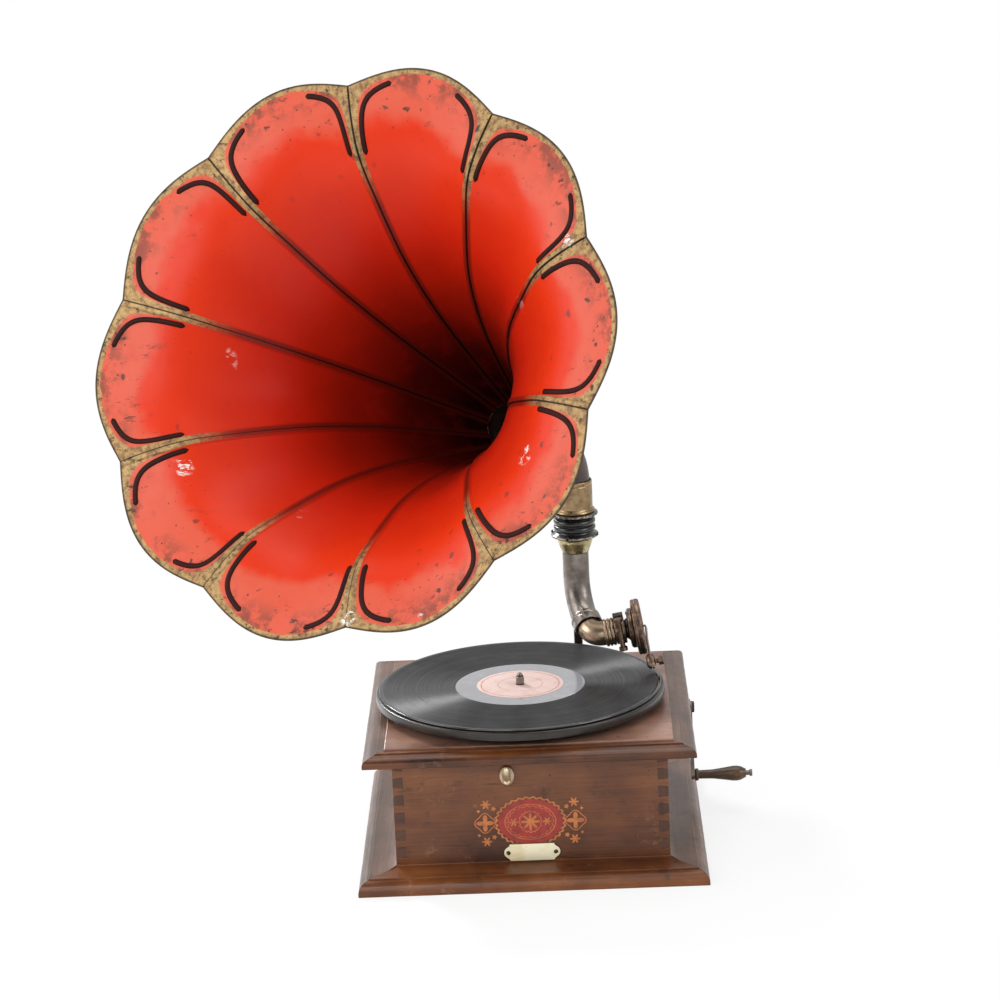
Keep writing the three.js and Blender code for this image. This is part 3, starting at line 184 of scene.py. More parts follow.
def add_node(
    tree: bpy.types.NodeTree,
    kind: str,
    inputs: dict[str | int, object] | None = None,
    **settings: object,
) -> bpy.types.Node:
    """Add a shader node.

    Args:
        tree: the material's tree.
        kind: the node's type without "ShaderNode".
        inputs: socket name or number to a value, a hex colour or a Signal.
        settings: the node's properties; stops gives a ramp's [place, hex colour] pairs.

    Returns:
        The node.
    """
    made = tree.nodes.new("ShaderNode" + kind)
    for place, (at, code) in enumerate(settings.pop("stops", [])):
        ramp = made.color_ramp.elements
        element = ramp[place] if place < 2 else ramp.new(at)
        element.position = at
        element.color = hex_colour(code)
    for key, value in settings.items():
        setattr(made, key, value)
    for key, value in (inputs or {}).items():
        if isinstance(value, Signal):
            tree.links.new(value.socket, made.inputs[key])
        else:
            made.inputs[key].default_value = hex_colour(value) if isinstance(value, str) else value
    return made


class Signal:
    """One output of a node: arithmetic on it adds Math nodes and gives the new output."""

    def __init__(self, node: bpy.types.Node, output: int | str = 0) -> None:
        """Keep the output with that number or name."""
        self.socket = node.outputs[output]

    def _worked(self, operation: str, first: "Signal | float", second: "Signal | float" = 0.0) -> "Signal":
        """Return the outcome of one operation."""
        return Signal(add_node(self.socket.id_data, "Math", {0: first, 1: second}, operation=operation))

    def __add__(self, other: "Signal | float") -> "Signal":
        """Return the sum."""
        return self._worked("ADD", self, other)

    def __sub__(self, other: "Signal | float") -> "Signal":
        """Return the difference."""
        return self._worked("SUBTRACT", self, other)

    def __rsub__(self, other: float) -> "Signal":
        """Return a number less this output."""
        return self._worked("SUBTRACT", other, self)

    def __mul__(self, other: "Signal | float") -> "Signal":
        """Return the product."""
        return self._worked("MULTIPLY", self, other)

    def __truediv__(self, other: "Signal | float") -> "Signal":
        """Return the quotient."""
        return self._worked("DIVIDE", self, other)

    def at_least(self, other: "Signal | float") -> "Signal":
        """Return the larger of the two."""
        return self._worked("MAXIMUM", self, other)

    def below(self, limit: float) -> "Signal":
        """Return 1 where the output is under the limit."""
        return self._worked("LESS_THAN", self, limit)

    def sine(self) -> "Signal":
        """Return the sine."""
        return self._worked("SINE", self)


class Surface:
    """A material being built: its tree, its Object coordinates in metres and a few short ways."""

    def __init__(self, name: str, mapped: bool = False) -> None:
        """Start a material.

        Args:
            name: the material's name.
            mapped: read the piece's own UV map beside its Object coordinates.
        """
        self.material = bpy.data.materials.new(name)
        self.material.use_nodes = True
        self.tree = self.material.node_tree
        self.tree.nodes.clear()
        self.coords = Signal(add_node(self.tree, "TexCoord"), "Object")
        self.uv = Signal(add_node(self.tree, "UVMap", uv_map="surface"), "UV") if mapped else None

    def noise(
        self,
        grit_mm: float,
        detail: float = 4.0,
        rough: float = 0.55,
        seed: float = 0.0,
        stretch: tuple[float, float, float] = (1, 1, 1),
    ) -> Signal:
        """Return noise from 0 to 1.

        Args:
            grit_mm: width of its blotches.
            detail: how many finer layers it has.
            rough: how strong they are.
            seed: where in the noise the piece lies.
            stretch: scale along X, Y and Z; blotches are longer where it is under 1.

        Returns:
            The noise.
        """
        place = {"Vector": self.coords, "Scale": stretch, "Location": (seed, seed * 0.7, -seed)}
        moved = Signal(add_node(self.tree, "Mapping", place))
        look = {"Vector": moved, "Scale": 1 / (grit_mm * MM), "Detail": detail, "Roughness": rough}
        return Signal(add_node(self.tree, "TexNoise", look))

    def band(self, value: Signal, low: float, high: float, start: float = 0.0, end: float = 1.0) -> Signal:
        """Return start below low, end above high and a smooth change between."""
        limits = {"Value": value, "From Min": low, "From Max": high, "To Min": start, "To Max": end}
        return Signal(add_node(self.tree, "MapRange", limits, interpolation_type="SMOOTHSTEP"))

    def mix(self, share: Signal | float, first: Signal | str, second: Signal | str) -> Signal:
        """Return one colour laid over another by a share."""
        return Signal(add_node(self.tree, "Mix", {0: share, 6: first, 7: second}, data_type="RGBA"), 2)

    def specks(self, spacing_mm: float, size_share: float, kept_share: float, seed: float = 0.0) -> Signal:
        """Return 1 in scattered round specks and 0 beside them.

        Args:
            spacing_mm: distance between the cells that can hold a speck.
            size_share: a speck's radius as a share of that distance.
            kept_share: how many of the cells hold one.
            seed: where in the pattern the piece lies.

        Returns:
            The specks.
        """
        tree, cell = self.tree, spacing_mm * MM
        place = {"Vector": self.coords, "Location": (seed, -seed, seed * 0.6)}
        moved = Signal(add_node(tree, "Mapping", place))
        wobble = Signal(add_node(tree, "TexNoise", {"Vector": moved, "Scale": 2.2 / cell, "Detail": 3.0}), 1)
        shift = Signal(add_node(tree, "VectorMath", {0: wobble, "Scale": cell * 0.55}, operation="SCALE"))
        where = Signal(add_node(tree, "VectorMath", {0: moved, 1: shift}, operation="ADD"))
        cells = add_node(tree, "TexVoronoi", {"Vector": where, "Scale": 1 / cell})
        close = self.band(Signal(cells, "Distance"), size_share * 0.6, size_share, 1.0, 0.0)
        chosen = Signal(add_node(tree, "SeparateColor", {0: Signal(cells, "Color")}))
        return close * chosen.below(kept_share)

    def finish(
        self,
        colour: Signal | str,
        roughness: Signal | float,
        height: Signal | None = None,
        depth_mm: float = 0.1,
        strength: float = 1.0,
        **sockets: object,
    ) -> bpy.types.Material:
        """Close the material with a Principled shader.

        Args:
            colour: base colour.
            roughness: roughness.
            height: relief from 0 to 1.
            depth_mm: what a height of 1 stands for.
            strength: share of the relief that shows.
            sockets: other inputs of the shader, with _ for a space.

        Returns:
            The material.
        """
        inputs = {"Base Color": colour, "Roughness": roughness}
        inputs.update({key.replace("_", " "): value for key, value in sockets.items()})
        if height is not None:
            relief = {"Height": height, "Distance": depth_mm * MM, "Strength": strength}
            inputs["Normal"] = Signal(add_node(self.tree, "Bump", relief))
        shader = Signal(add_node(self.tree, "BsdfPrincipled", inputs))
        add_node(self.tree, "OutputMaterial", {"Surface": shader})
        return self.material


@dataclass(frozen=True)
class Walnut:
    """Oiled walnut, planed and a century old: warm brown figure, open pores, rubbed spots and worm holes."""

    name: str
    grain: Grain = Grain.ACROSS
    dark: str = "#3E2213"
    middle: str = "#653D24"
    light: str = "#86552F"
    ring_mm: float = 12.0
    pore_mm: float = 0.6
    roughness: float = 0.33
    worn: float = 1.0

    def material(self) -> bpy.types.Material:
        """Return the wood: long noise for the figure, streaks for pores, specks for holes and flakes."""
        s = Surface(self.name)
        along = self.grain.value
        long = tuple(0.09 if v else 1.0 for v in along)
        fine = tuple(0.035 if v else 1.0 for v in along)
        figure = s.noise(self.ring_mm * 2.4, 4, 0.55, 1.3, stretch=long)
        streak = s.noise(self.pore_mm * 3, 4, 0.6, 4.1, stretch=fine)
        pores = s.band(s.noise(self.pore_mm, 2, 0.6, 7.7, stretch=fine), 0.58, 0.72)
        cloud = s.noise(48, 4, 0.5, 2.2)
        tone = figure * 0.5 + cloud * 0.34
        tone = tone + streak * 0.16
        stops = [(0.36, self.dark), (0.66, self.light), (0.5, self.middle)]
        colour = Signal(add_node(s.tree, "ValToRGB", {0: tone}, stops=stops))
        colour = s.mix(pores * 0.4, colour, "#2A160C")
        smudge = s.band(s.noise(20, 5, 0.68, 11.0), 0.57, 0.7, 0.0, 0.55 * self.worn)
        colour = s.mix(smudge, colour, "#2E1A10")
        rubbed = s.band(s.noise(16, 6, 0.72, 9.0), 0.58, 0.74, 0.0, 0.5 * self.worn)
        colour = s.mix(rubbed, colour, "#9C7658")
        marks = s.band(s.noise(5, 4, 0.7, 13.0, stretch=fine), 0.66, 0.72) * s.band(cloud, 0.5, 0.6)
        colour = s.mix(marks * 0.7, colour, "#1C0F08")
        holes = s.specks(15, 0.055, 0.4, 3.0)
        dents = s.specks(8, 0.12, 0.1 * self.worn, 6.0)
        flakes = s.specks(33, 0.03, 0.5, 21.0)
        colour = s.mix(holes, colour, "#120905")
        colour = s.mix(dents * 0.55, colour, "#2A170E")
        colour = s.mix(flakes, colour, "#DDBE96")
        rough = s.noise(14, 4, 0.6, 5.0) * 0.22 + (self.roughness - 0.1)
        rough = rough + rubbed * 0.3
        relief = streak * 0.45 - pores * 0.4
        relief = relief - (holes + dents) * 1.2
        return s.finish(
            colour, rough, relief, 0.2, 0.5, Specular_IOR_Level=0.4, Coat_Weight=0.12, Coat_Roughness=0.16
        )


@dataclass(frozen=True)
class WornMetal:
    """A metal whose bright surface is overlaid by tarnish and stains, with fine scratches."""

    name: str
    bright: str
    dull: str
    stain: str
    roughness: float = 0.3
    blotch_mm: float = 7.0
    stained: float = 0.5
    metallic: float = 1.0
    scratched: float = 0.5

    def material(self) -> bpy.types.Material:
        """Return the metal: two tones in blotches, dark stains, pits and scratches in the relief."""
        s = Surface(self.name)
        tarnish = s.band(s.noise(self.blotch_mm, 6, 0.65, 1.0), 0.38, 0.62)
        spread = s.noise(self.blotch_mm * 0.45, 6, 0.72, 5.0)
        stains = s.band(spread, 0.66 - 0.16 * self.stained, 0.78 - 0.1 * self.stained)
        scratches = s.band(s.noise(0.5, 3, 0.6, 8.0, stretch=(0.06, 1, 0.9)), 0.58, 0.66)
        pits = s.specks(2.6, 0.16, 0.3, 2.0)
        colour = s.mix(tarnish, self.bright, self.dull)
        colour = s.mix(stains * 0.8, colour, self.stain)
        colour = s.mix(pits * 0.6, colour, self.stain)
        rough = tarnish * 0.16 + self.roughness
        rough = rough + stains * 0.2
        relief = tarnish * 0.3 - pits * 0.8
        relief = relief - scratches * (0.3 * self.scratched)
        return s.finish(colour, rough, relief, 0.07, 0.5, Metallic=self.metallic)


@dataclass(frozen=True)
class PetalLacquer:
    """Orange-red lacquer sprayed on steel, with a gilt margin, painted sheen near the lip and painted shade
    deep in the bell; chipped and scratched.
    """

    name: str = "red lacquer with a gilt margin"
    red: str = "#CC2E0A"
    painted_sheen_pink: str = "#C86A54"
    gilt: str = "#A6885A"
    patina: str = "#70543A"
    soot: str = "#2E2A26"
    seam: str = "#4A120A"

    def material(self) -> bpy.types.Material:
        """Return the lacquer: the red and its depth first, then margin, seams and damage.

        The UV map holds the distance to the nearest seam and to the lip, in decimetres. The red turns
        dark down the bell: painted shade that deepens to near black at the throat.
        """
        s = Surface(self.name, mapped=True)
        split = add_node(s.tree, "SeparateXYZ", {0: s.uv})
        seam_mm = Signal(split, 0) * 100.0
        lip_mm = Signal(split, 1) * 100.0
        cloud = s.noise(60, 4, 0.5, 6.0)
        wander = (cloud - 0.5) * 60.0
        share = {0: lip_mm + wander, 1: 350.0}
        depth = Signal(add_node(s.tree, "Math", share, operation="DIVIDE", use_clamp=True))
        # Painted shade: the ramp darkens the red towards near black deeper down the bell.
        stops = [(0.18, self.red), (1.0, "#1E0302"), (0.38, "#B81E07"), (0.58, "#8E1505"), (0.8, "#4C0903")]
        colour = Signal(add_node(s.tree, "ValToRGB", {0: depth}, stops=stops))
        # Painted sheen: a paler salmon near the lip stands for the light that the flat lip reflects.
        faded_ink_and_lip_sheen = s.band(lip_mm + wander, 30.0, 46.0, 0.52, 0.0)
        colour = s.mix(faded_ink_and_lip_sheen, colour, self.painted_sheen_pink)
        thin = s.band(s.noise(22, 5, 0.65, 12.0), 0.5, 0.75, 0.0, 0.2)
        colour = s.mix(thin, colour, "#B81E0C")
        return self._margin(s, colour, seam_mm, lip_mm)

    def _margin(self, s: Surface, colour: Signal, seam_mm: Signal, lip_mm: Signal) -> bpy.types.Material:
        """Lay the gilt, the seam's dark line and the damage over the red.

        The gilt lies where the product of the distances to seam and lip, each less its own margin, is
        small: a curve that runs along the lip and turns down each seam.

        Args:
            s: the material's surface.
            colour: the red.
            seam_mm: distance from the nearer seam.
            lip_mm: distance from the lip.

        Returns:
            The material.
        """
        spray = s.noise(9, 5, 0.6, 2.0)
        beside = (seam_mm - 3.0).at_least(0.0)
        margin = spray * 4.6 + 1.0
        inward = (lip_mm - margin).at_least(0.0)
        gilt = s.band(beside * inward, 44.0, 88.0, 1.0, 0.0)
        gilt = gilt * s.band(lip_mm, 54.0, 105.0, 1.0, 0.0)
        dirt = s.band(lip_mm, 8.0, 30.0, 1.0, 0.0) * s.band(s.noise(24, 5, 0.66, 15.0), 0.47, 0.6)
        colour = s.mix(dirt * 0.7, colour, "#5E3A2E")
        tone = s.mix(s.band(s.noise(6, 6, 0.7, 3.0), 0.4, 0.66), self.gilt, self.patina)
        spots = s.band(s.noise(5.0, 6, 0.78, 21.0), 0.55, 0.63, 0.0, 0.9)
        tone = s.mix(spots, tone, self.soot)
        colour = s.mix(gilt, colour, tone)
        halo = s.band(seam_mm, 2.4, 5.4, 1.0, 0.0) * s.band(lip_mm, 50.0, 110.0, 0.0, 0.7)
        colour = s.mix(halo, colour, self.seam)
        line = s.band(seam_mm, 0.35, 0.9, 0.92, 0.0)
        colour = s.mix(line, colour, "#0E0605")
        edge = s.band(lip_mm, 0.8, 2.0, 0.85, 0.0)
        colour = s.mix(edge, colour, "#241B14")
        near = s.band(lip_mm, 12.0, 95.0, 1.0, 0.1)
        scratch = s.specks(14, 0.21, 0.38, 1.0) * near
        pocks = s.specks(6, 0.16, 0.24, 5.0) * near
        streaks = s.band(s.noise(8, 5, 0.78, 31.0, stretch=(0.3, 1, 1)), 0.61, 0.65)
        streaks = streaks * s.band(lip_mm, 10.0, 70.0, 1.0, 0.0)
        worn = scratch.at_least(pocks.at_least(streaks))
        colour = s.mix(worn * 0.88, colour, self.soot)
        torn = s.band(s.noise(5, 5, 0.75, 44.0, stretch=(0.4, 1, 1)), 0.5, 0.56)
        chips = s.specks(46, 0.2, 0.34, 9.0) * s.band(lip_mm, 60.0, 130.0, 1.0, 0.0)
        chips = chips * torn
        fine = s.specks(9, 0.04, 0.16, 14.0) * near
        colour = s.mix(chips.at_least(fine), colour, "#DCD6D0")
        rough = s.noise(18, 5, 0.6, 7.0) * 0.16 + 0.27
        rough = rough + gilt * 0.1
        relief = s.noise(1.4, 3) * 0.14 - worn.at_least(chips)
        metal = gilt * 0.35
        return s.finish(colour, rough, relief, 0.09, 0.6, Metallic=metal, Specular_IOR_Level=0.19)


@dataclass(frozen=True)
class PlainLacquer:
    """Lacquer brushed on metal: one colour with cloudy dust, rubbed spots and small chips."""

    name: str
    colour: str
    rubbed: str
    roughness: float = 0.38
    metallic: float = 0.0
    wear: float = 0.5
    coat: float = 0.2
    shine: float = 0.5

    def material(self) -> bpy.types.Material:
        """Return the lacquer: noise between two tones, rubbed specks and a little orange peel."""
        s = Surface(self.name)
        cloud = s.band(s.noise(19, 5, 0.6, 1.0), 0.35, 0.7)
        colour = s.mix(cloud * (0.35 * self.wear), self.colour, self.rubbed)
        spots = s.band(s.noise(2.6, 5, 0.7, 4.0), 0.69 - 0.06 * self.wear, 0.76)
        chips = s.specks(7, 0.12, 0.14 * self.wear, 2.0)
        worn = (spots * 0.7).at_least(chips)
        colour = s.mix(worn, colour, self.rubbed)
        rough = s.noise(9, 4, 0.6, 6.0) * 0.2 + (self.roughness - 0.06)
        relief = s.noise(1.1, 3) * 0.25 - worn
        return s.finish(
            colour, rough, relief, 0.06, 0.6, Metallic=self.metallic, Coat_Weight=self.coat,
            Coat_Roughness=0.2, Specular_IOR_Level=self.shine,
        )


@dataclass(frozen=True)
class ShellacDisc:
    """Pressed shellac: black-grey, with a grooved band that throws a silky light round a smooth middle."""

    name: str = "pressed shellac"
    colour: str = "#131315"
    dust: str = "#5A595A"
    centre: tuple[float, float] = (-7.0, -6.0)
    groove_mm: float = 1.0
    outer_mm: float = 121.0
    inner_mm: float = 57.0

    def material(self) -> bpy.types.Material:
        """Return the disc: a sine of the radius for grooves, coarser than the real 0.25 mm to show.

        The light is stretched across the grooves: the shader's tangent is (x, y, 0) about the spindle.
        """
        s = Surface(self.name)
        about = {"Vector": s.coords, "Location": (-self.centre[0] * MM, -self.centre[1] * MM, 0)}
        moved = Signal(add_node(s.tree, "Mapping", about))
        flat = Signal(add_node(s.tree, "VectorMath", {0: moved, 1: (1, 1, 0)}, operation="MULTIPLY"))
        radius = Signal(add_node(s.tree, "VectorMath", {0: flat}, operation="LENGTH"), "Value") / MM
        parts = add_node(s.tree, "SeparateXYZ", {0: flat})
        tangent = Signal(add_node(s.tree, "CombineXYZ", {0: Signal(parts, 0), 1: Signal(parts, 1)}))
        wave = (radius * (TURN / self.groove_mm)).sine()
        inner = s.band(radius, self.inner_mm, self.inner_mm + 0.6)
        cut = inner * s.band(radius, self.outer_mm, self.outer_mm + 0.8, 1.0, 0.0)
        line = Signal(add_node(s.tree, "CombineXYZ", {0: radius}))
        look = {"Vector": line, "Scale": 0.32, "Detail": 5.0, "Roughness": 0.7}
        passage = Signal(add_node(s.tree, "TexNoise", look))
        loud = s.band(passage, 0.35, 0.65, 0.5, 1.0) * cut
        dusty = s.band(s.noise(16, 5, 0.65, 3.0), 0.42, 0.75, 0.0, 0.22)
        colour = s.mix(dusty, self.colour, self.dust)
        # Painted sheen: the louder passages are drawn a little lighter grey.
        colour = s.mix(s.band(passage, 0.5, 0.62) * (cut * 0.25), colour, "#3C3B3D")
        hair = s.specks(14, 0.03, 0.25, 4.0)
        colour = s.mix(hair, colour, "#8C8A88")
        # Painted reflection: the smooth band inside the grooves is drawn pale grey, standing for the white
        # surround that it mirrors.
        painted_wax_reflection = s.band(radius, self.inner_mm, self.inner_mm + 0.6, 1.0, 0.0)
        painted_wax_reflection = painted_wax_reflection * s.band(dusty, 0.0, 0.3, 0.85, 1.0)
        colour = s.mix(painted_wax_reflection, colour, "#A2A2A6")
        rough = loud * 0.4 + 0.1
        rough = rough + dusty * 0.1
        relief = wave * loud * 0.5
        stretched = cut * 0.95
        bend = 1.7 - cut * 0.25
        return s.finish(colour, rough, relief, 0.04, 0.4, IOR=bend, Anisotropic=stretched, Tangent=tangent)


@dataclass(frozen=True)
class LabelPaper:
    """Uncoated paper pressed on the disc: pale pink, foxed and a little cockled."""

    name: str = "label paper"
    colour: str = "#DCC2BA"
    stain: str = "#C9A093"

    def material(self) -> bpy.types.Material:
        """Return the paper: fibre noise, tea-brown foxing and a cockled relief."""
        s = Surface(self.name)
        fibre = s.noise(0.9, 5, 0.7, 2.0)
        foxed = s.band(s.noise(11, 5, 0.65, 5.0), 0.45, 0.75)
        colour = s.mix(foxed * 0.6, self.colour, self.stain)
        colour = s.mix(s.band(fibre, 0.55, 0.7) * 0.18, colour, "#F4E4DE")
        colour = s.mix(s.specks(6, 0.07, 0.2, 1.0), colour, "#A87868")
        return s.finish(colour, 0.62, fibre + s.noise(8, 3), 0.08, 0.35)


@dataclass(frozen=True)
class PrintedInk:
    """Transfer print on wood: flat colour that has flaked, so that the walnut shows through."""

    name: str
    colour: str
    faded_ink_and_lip_sheen: str
    flaked: float = 0.3
    wood: str = "#5C3824"

    def material(self) -> bpy.types.Material:
        """Return the print: two tones of ink and flakes of bare wood."""
        s = Surface(self.name)
        colour = s.mix(s.band(s.noise(7, 5, 0.6, 2.0), 0.35, 0.7), self.colour, self.faded_ink_and_lip_sheen)
        cracks = s.noise(1.6, 6, 0.75, 6.0, stretch=(0.5, 1, 1))
        flakes = s.band(cracks, 0.64 - 0.14 * self.flaked, 0.7 - 0.1 * self.flaked)
        colour = s.mix(flakes * 0.85, colour, self.wood)
        return s.finish(colour, 0.42, 1.0 - flakes, 0.03, 0.4, Coat_Weight=0.15, Coat_Roughness=0.3)


@dataclass(frozen=True)
class MicaSheet:
    """Split mica: a thin, pearly and half clear sheet with flaws between its layers."""

    name: str = "split mica"

    def material(self) -> bpy.types.Material:
        """Return the mica: cloudy cream with silvery flaws."""
        s = Surface(self.name)
        flaws = s.band(s.noise(5, 6, 0.7, 1.0, stretch=(1, 0.5, 1)), 0.45, 0.7)
        colour = s.mix(flaws, "#B8AE92", "#DCD6C4")
        return s.finish(colour, 0.16, s.noise(9, 4), 0.05, 0.3, Specular_IOR_Level=0.7)


@dataclass(frozen=True)
class Casein:
    """Moulded casein plate, ivory coloured: waxy, yellowed in blotches, with faint streaks."""

    name: str = "ivory casein"

    def material(self) -> bpy.types.Material:
        """Return the plate's surface: two creams, hairline streaks and a waxy coat."""
        s = Surface(self.name)
        streaks = s.noise(1.2, 5, 0.6, 2.0, stretch=(0.08, 1, 1))
        colour = s.mix(s.band(s.noise(14, 4), 0.35, 0.7), "#F3EBCB", "#E7D9AE")
        colour = s.mix(s.band(streaks, 0.55, 0.75) * 0.3, colour, "#D6C593")
        colour = s.mix(s.specks(5, 0.09, 0.16, 3.0), colour, "#A08A5E")
        return s.finish(colour, 0.3, streaks, 0.03, 0.3, Coat_Weight=0.3, Coat_Roughness=0.15)


@dataclass(frozen=True)
class StudioFloor:
    """Matt white paper that keeps the object's shadow and glows into pure white away from it."""

    name: str = "white studio floor"
    fade: tuple[float, float] = (0.26, 0.62)
    near_glow: float = 0.78

    def material(self) -> bpy.types.Material:
        """Return the paper: the camera sees a share of plain white that grows with the distance."""
        s = Surface(self.name)
        path = add_node(s.tree, "LightPath")
        paper = Signal(add_node(s.tree, "BsdfDiffuse", {"Color": (0.86, 0.86, 0.86, 1)}))
        glow = Signal(add_node(s.tree, "Emission", {"Color": (1, 1, 1, 1), "Strength": 1.0}))
        away = Signal(add_node(s.tree, "VectorMath", {0: s.coords}, operation="LENGTH"), "Value")
        share = Signal(path, "Is Camera Ray") * s.band(away, *self.fade, self.near_glow, 1.0)
        both = Signal(add_node(s.tree, "MixShader", {0: share, 1: paper, 2: glow}))
        add_node(s.tree, "OutputMaterial", {"Surface": both})
        return s.material


class Finish(Enum):
    """Every finish of the object and its floor, each built when it is first used."""

    WALNUT_ACROSS = Walnut("walnut, grain across", Grain.ACROSS, "#34190A", "#643617", "#905629")
    # Painted sheen: the left and right mouldings take greyer, paler tones for the light that their sloping
    # faces reflect.
    WALNUT_DEEP = Walnut("walnut, grain front to back", Grain.DEEP, "#38241A", "#5E4233", "#82624F")
    WALNUT_BOARD = Walnut("walnut board", Grain.ACROSS, "#3A1C0B", "#66391C", "#86522C", ring_mm=22)
    WALNUT_SIDE = Walnut("walnut side board", Grain.DEEP, "#2E190D", "#4A2C1A", "#67422A", ring_mm=22)
    WALNUT_TOP = Walnut(
        "walnut top panel", Grain.ACROSS, "#563426", "#815A49", "#A8806C", ring_mm=20, roughness=0.3
    )
    BARE_WOOD = Walnut("bare softwood", Grain.ACROSS, "#5A4028", "#84623F", "#A98259", roughness=0.6)
    BEECH = Walnut(
        "stained beech, turned", Grain.ACROSS, "#2C1A0E", "#563A20", "#7E5C36", ring_mm=4, roughness=0.26
    )
    IRON = PlainLacquer("black stoved enamel on iron", "#0C0B0B", "#3A3734", 0.24, 0.3, 0.6, 0.5)
    PLATTER = PlainLacquer("brown-black enamel on the turntable", "#191310", "#54443A", 0.3, 0.3, 0.5, 0.3)
    EDGE = WornMetal("enamel worn to bright iron", "#B8ACA0", "#4A443E", "#141210", 0.3, 3, 0.9)
    STEEL = WornMetal("tarnished steel tube", "#8E857E", "#6E6660", "#443B34", 0.26, 24, 0.22)
    NICKEL = WornMetal("nickel worn to bronze", "#B7A088", "#97826C", "#5A4632", 0.22, 18, 0.3)
    OLIVE = WornMetal("nickel gone olive", "#B4A880", "#8E8260", "#4A4030", 0.22, 14, 0.42)
    COLLAR = WornMetal("brown nickel sleeve", "#A28A68", "#7C664A", "#43321F", 0.26, 16, 0.4)
    BRASS = WornMetal("rubbed brass", "#E6DCB4", "#BFB080", "#6E5A30", 0.2, 5, 0.3)
    LEVER = WornMetal("champagne brass, turned", "#F2E8CC", "#D2C4A0", "#8A7850", 0.4, 5, 0.3)
    MOTOR_BRASS = WornMetal("machined brass", "#C8A860", "#9C7E42", "#5A4624", 0.3, 9, 0.4)
    BRONZE = WornMetal("patinated bronze", "#86705F", "#5C4A40", "#2A211C", 0.32, 6, 0.6)
    DARK_SCREW = WornMetal("blackened screw steel", "#5A524C", "#332D29", "#171311", 0.34, 3, 0.6)
    CAP = PlainLacquer("dark red-brown knob", "#1C0A08", "#4A2820", 0.36, 0.0, 0.5, 0.0)
    PETAL = PetalLacquer()
    BEAD = PlainLacquer("maroon lacquer on pressed beads", "#240804", "#4A1A12", 0.5, 0.0, 0.5, 0.0, 0.12)
    BROWN = PlainLacquer("brown lacquer on steel", "#2A150D", "#5A3A28", 0.34, 0.1, 0.6, 0.35)
    RIM = PlainLacquer("dark raw edge of the sheet", "#1E1610", "#6A5A40", 0.45, 0.5, 0.8, 0.0)
    SHELLAC = ShellacDisc()
    LABEL = LabelPaper()
    LABEL_RING = PrintedInk("red ring printed on the label", "#A83A30", "#C06A5C", 0.3, "#DCC0B8")
    RED_INK = PrintedInk("red transfer print", "#A22A22", "#84241C", 0.3)
    GOLD_INK = PrintedInk("gold transfer print", "#C8763A", "#A45C2C", 0.4)
    MICA = MicaSheet()
    IVORY = Casein()
    FLOOR = StudioFloor()

    @cached_property
    def material(self) -> bpy.types.Material:
        """Return the finish's material."""
        return self.value.material()


# Meshes


def grid_faces(rows: int, columns: int, close_rows: bool = False, close_columns: bool = False) -> Array:
    """Return the quads of a grid of rows x columns points.

    Args:
        rows: number of rows.
        columns: points in a row.
        close_rows: the last row joins the first.
        close_columns: a row's last point joins its first.

    Returns:
        Vertex numbers, four to a face, that turn the same way all over.
    """
    i, j = np.meshgrid(
        np.arange(rows if close_rows else rows - 1),
        np.arange(columns if close_columns else columns - 1),
        indexing="ij",
    )
    a = i * columns + j
    b = i * columns + (j + 1) % columns
    c = (i + 1) % rows * columns + (j + 1) % columns
    d = (i + 1) % rows * columns + j
    return np.stack([a, b, c, d], -1).reshape(-1, 4)


def make_piece(
    name: str,
    points: Array,
    faces: Array,
    finishes: list[Finish],
    uv: Array | None = None,
    face_material: Array | None = None,
    sharp: float = 40.0,
) -> bpy.types.Object:
    """Make a smooth object from arrays, with doubles merged and faces turned outwards.

    Args:
        name: the piece's name.
        points: vertices in millimetres, n x 3.
        faces: quads, m x 4.
        finishes: the piece's finishes.
        uv: one pair for each vertex.
        face_material: the number of each face's finish.
        sharp: angle in degrees past which an edge stays crisp.

    Returns:
        The object, at the origin.
    """
    mesh = bpy.data.meshes.new(name)
    faces = np.asarray(faces, dtype=np.int32)
    mesh.vertices.add(len(points))
    mesh.vertices.foreach_set("co", (np.asarray(points) * MM).astype(np.float32).ravel())
    mesh.loops.add(faces.size)
    mesh.loops.foreach_set("vertex_index", faces.ravel())
    mesh.polygons.add(len(faces))
    mesh.polygons.foreach_set("loop_start", np.arange(0, faces.size, 4, dtype=np.int32))
    if face_material is not None:
        mesh.polygons.foreach_set("material_index", np.asarray(face_material, dtype=np.int32))
    if uv is not None:
        layer = mesh.uv_layers.new(name="surface")
        layer.data.foreach_set("uv", np.asarray(uv, dtype=np.float32)[faces.ravel()].ravel())
    mesh.update(calc_edges=True)
    work = bmesh.new()
    work.from_mesh(mesh)
    bmesh.ops.remove_doubles(work, verts=work.verts, dist=2e-6)
    bmesh.ops.dissolve_degenerate(work, edges=work.edges, dist=1e-7)
    bmesh.ops.recalc_face_normals(work, faces=work.faces)
    work.to_mesh(mesh)
    work.free()
    mesh.polygons.foreach_set("use_smooth", np.ones(len(mesh.polygons), dtype=bool))
    mesh.set_sharp_from_angle(angle=math.radians(sharp))
    for finish in finishes:
        mesh.materials.append(finish.material)
    piece = bpy.data.objects.new(name, mesh)
    bpy.context.scene.collection.objects.link(piece)
    return piece


def turned(profile: Array, sides: int = 72) -> Part:
    """Return a revolve about +Z: each [radius, height] point sweeps a circle.

    Args:
        profile: [radius, height] points, whose ends meet or lie on the axis.
        sides: points round the circle.

    Returns:
        Points and quads.
    """
    profile = np.asarray(profile, dtype=float)
    angle = np.linspace(0, TURN, sides, endpoint=False)
    r, z = profile[:, :1], profile[:, 1:]
    points = np.stack([r * np.cos(angle), r * np.sin(angle), z + 0 * angle], -1)
    return points.reshape(-1, 3), grid_faces(len(profile), sides, close_columns=True)


def set_at(points: Array, rows: Array, place: Array) -> Array:
    """Return points whose coordinates count along the frame's rows from a place."""
    return points @ rows + place


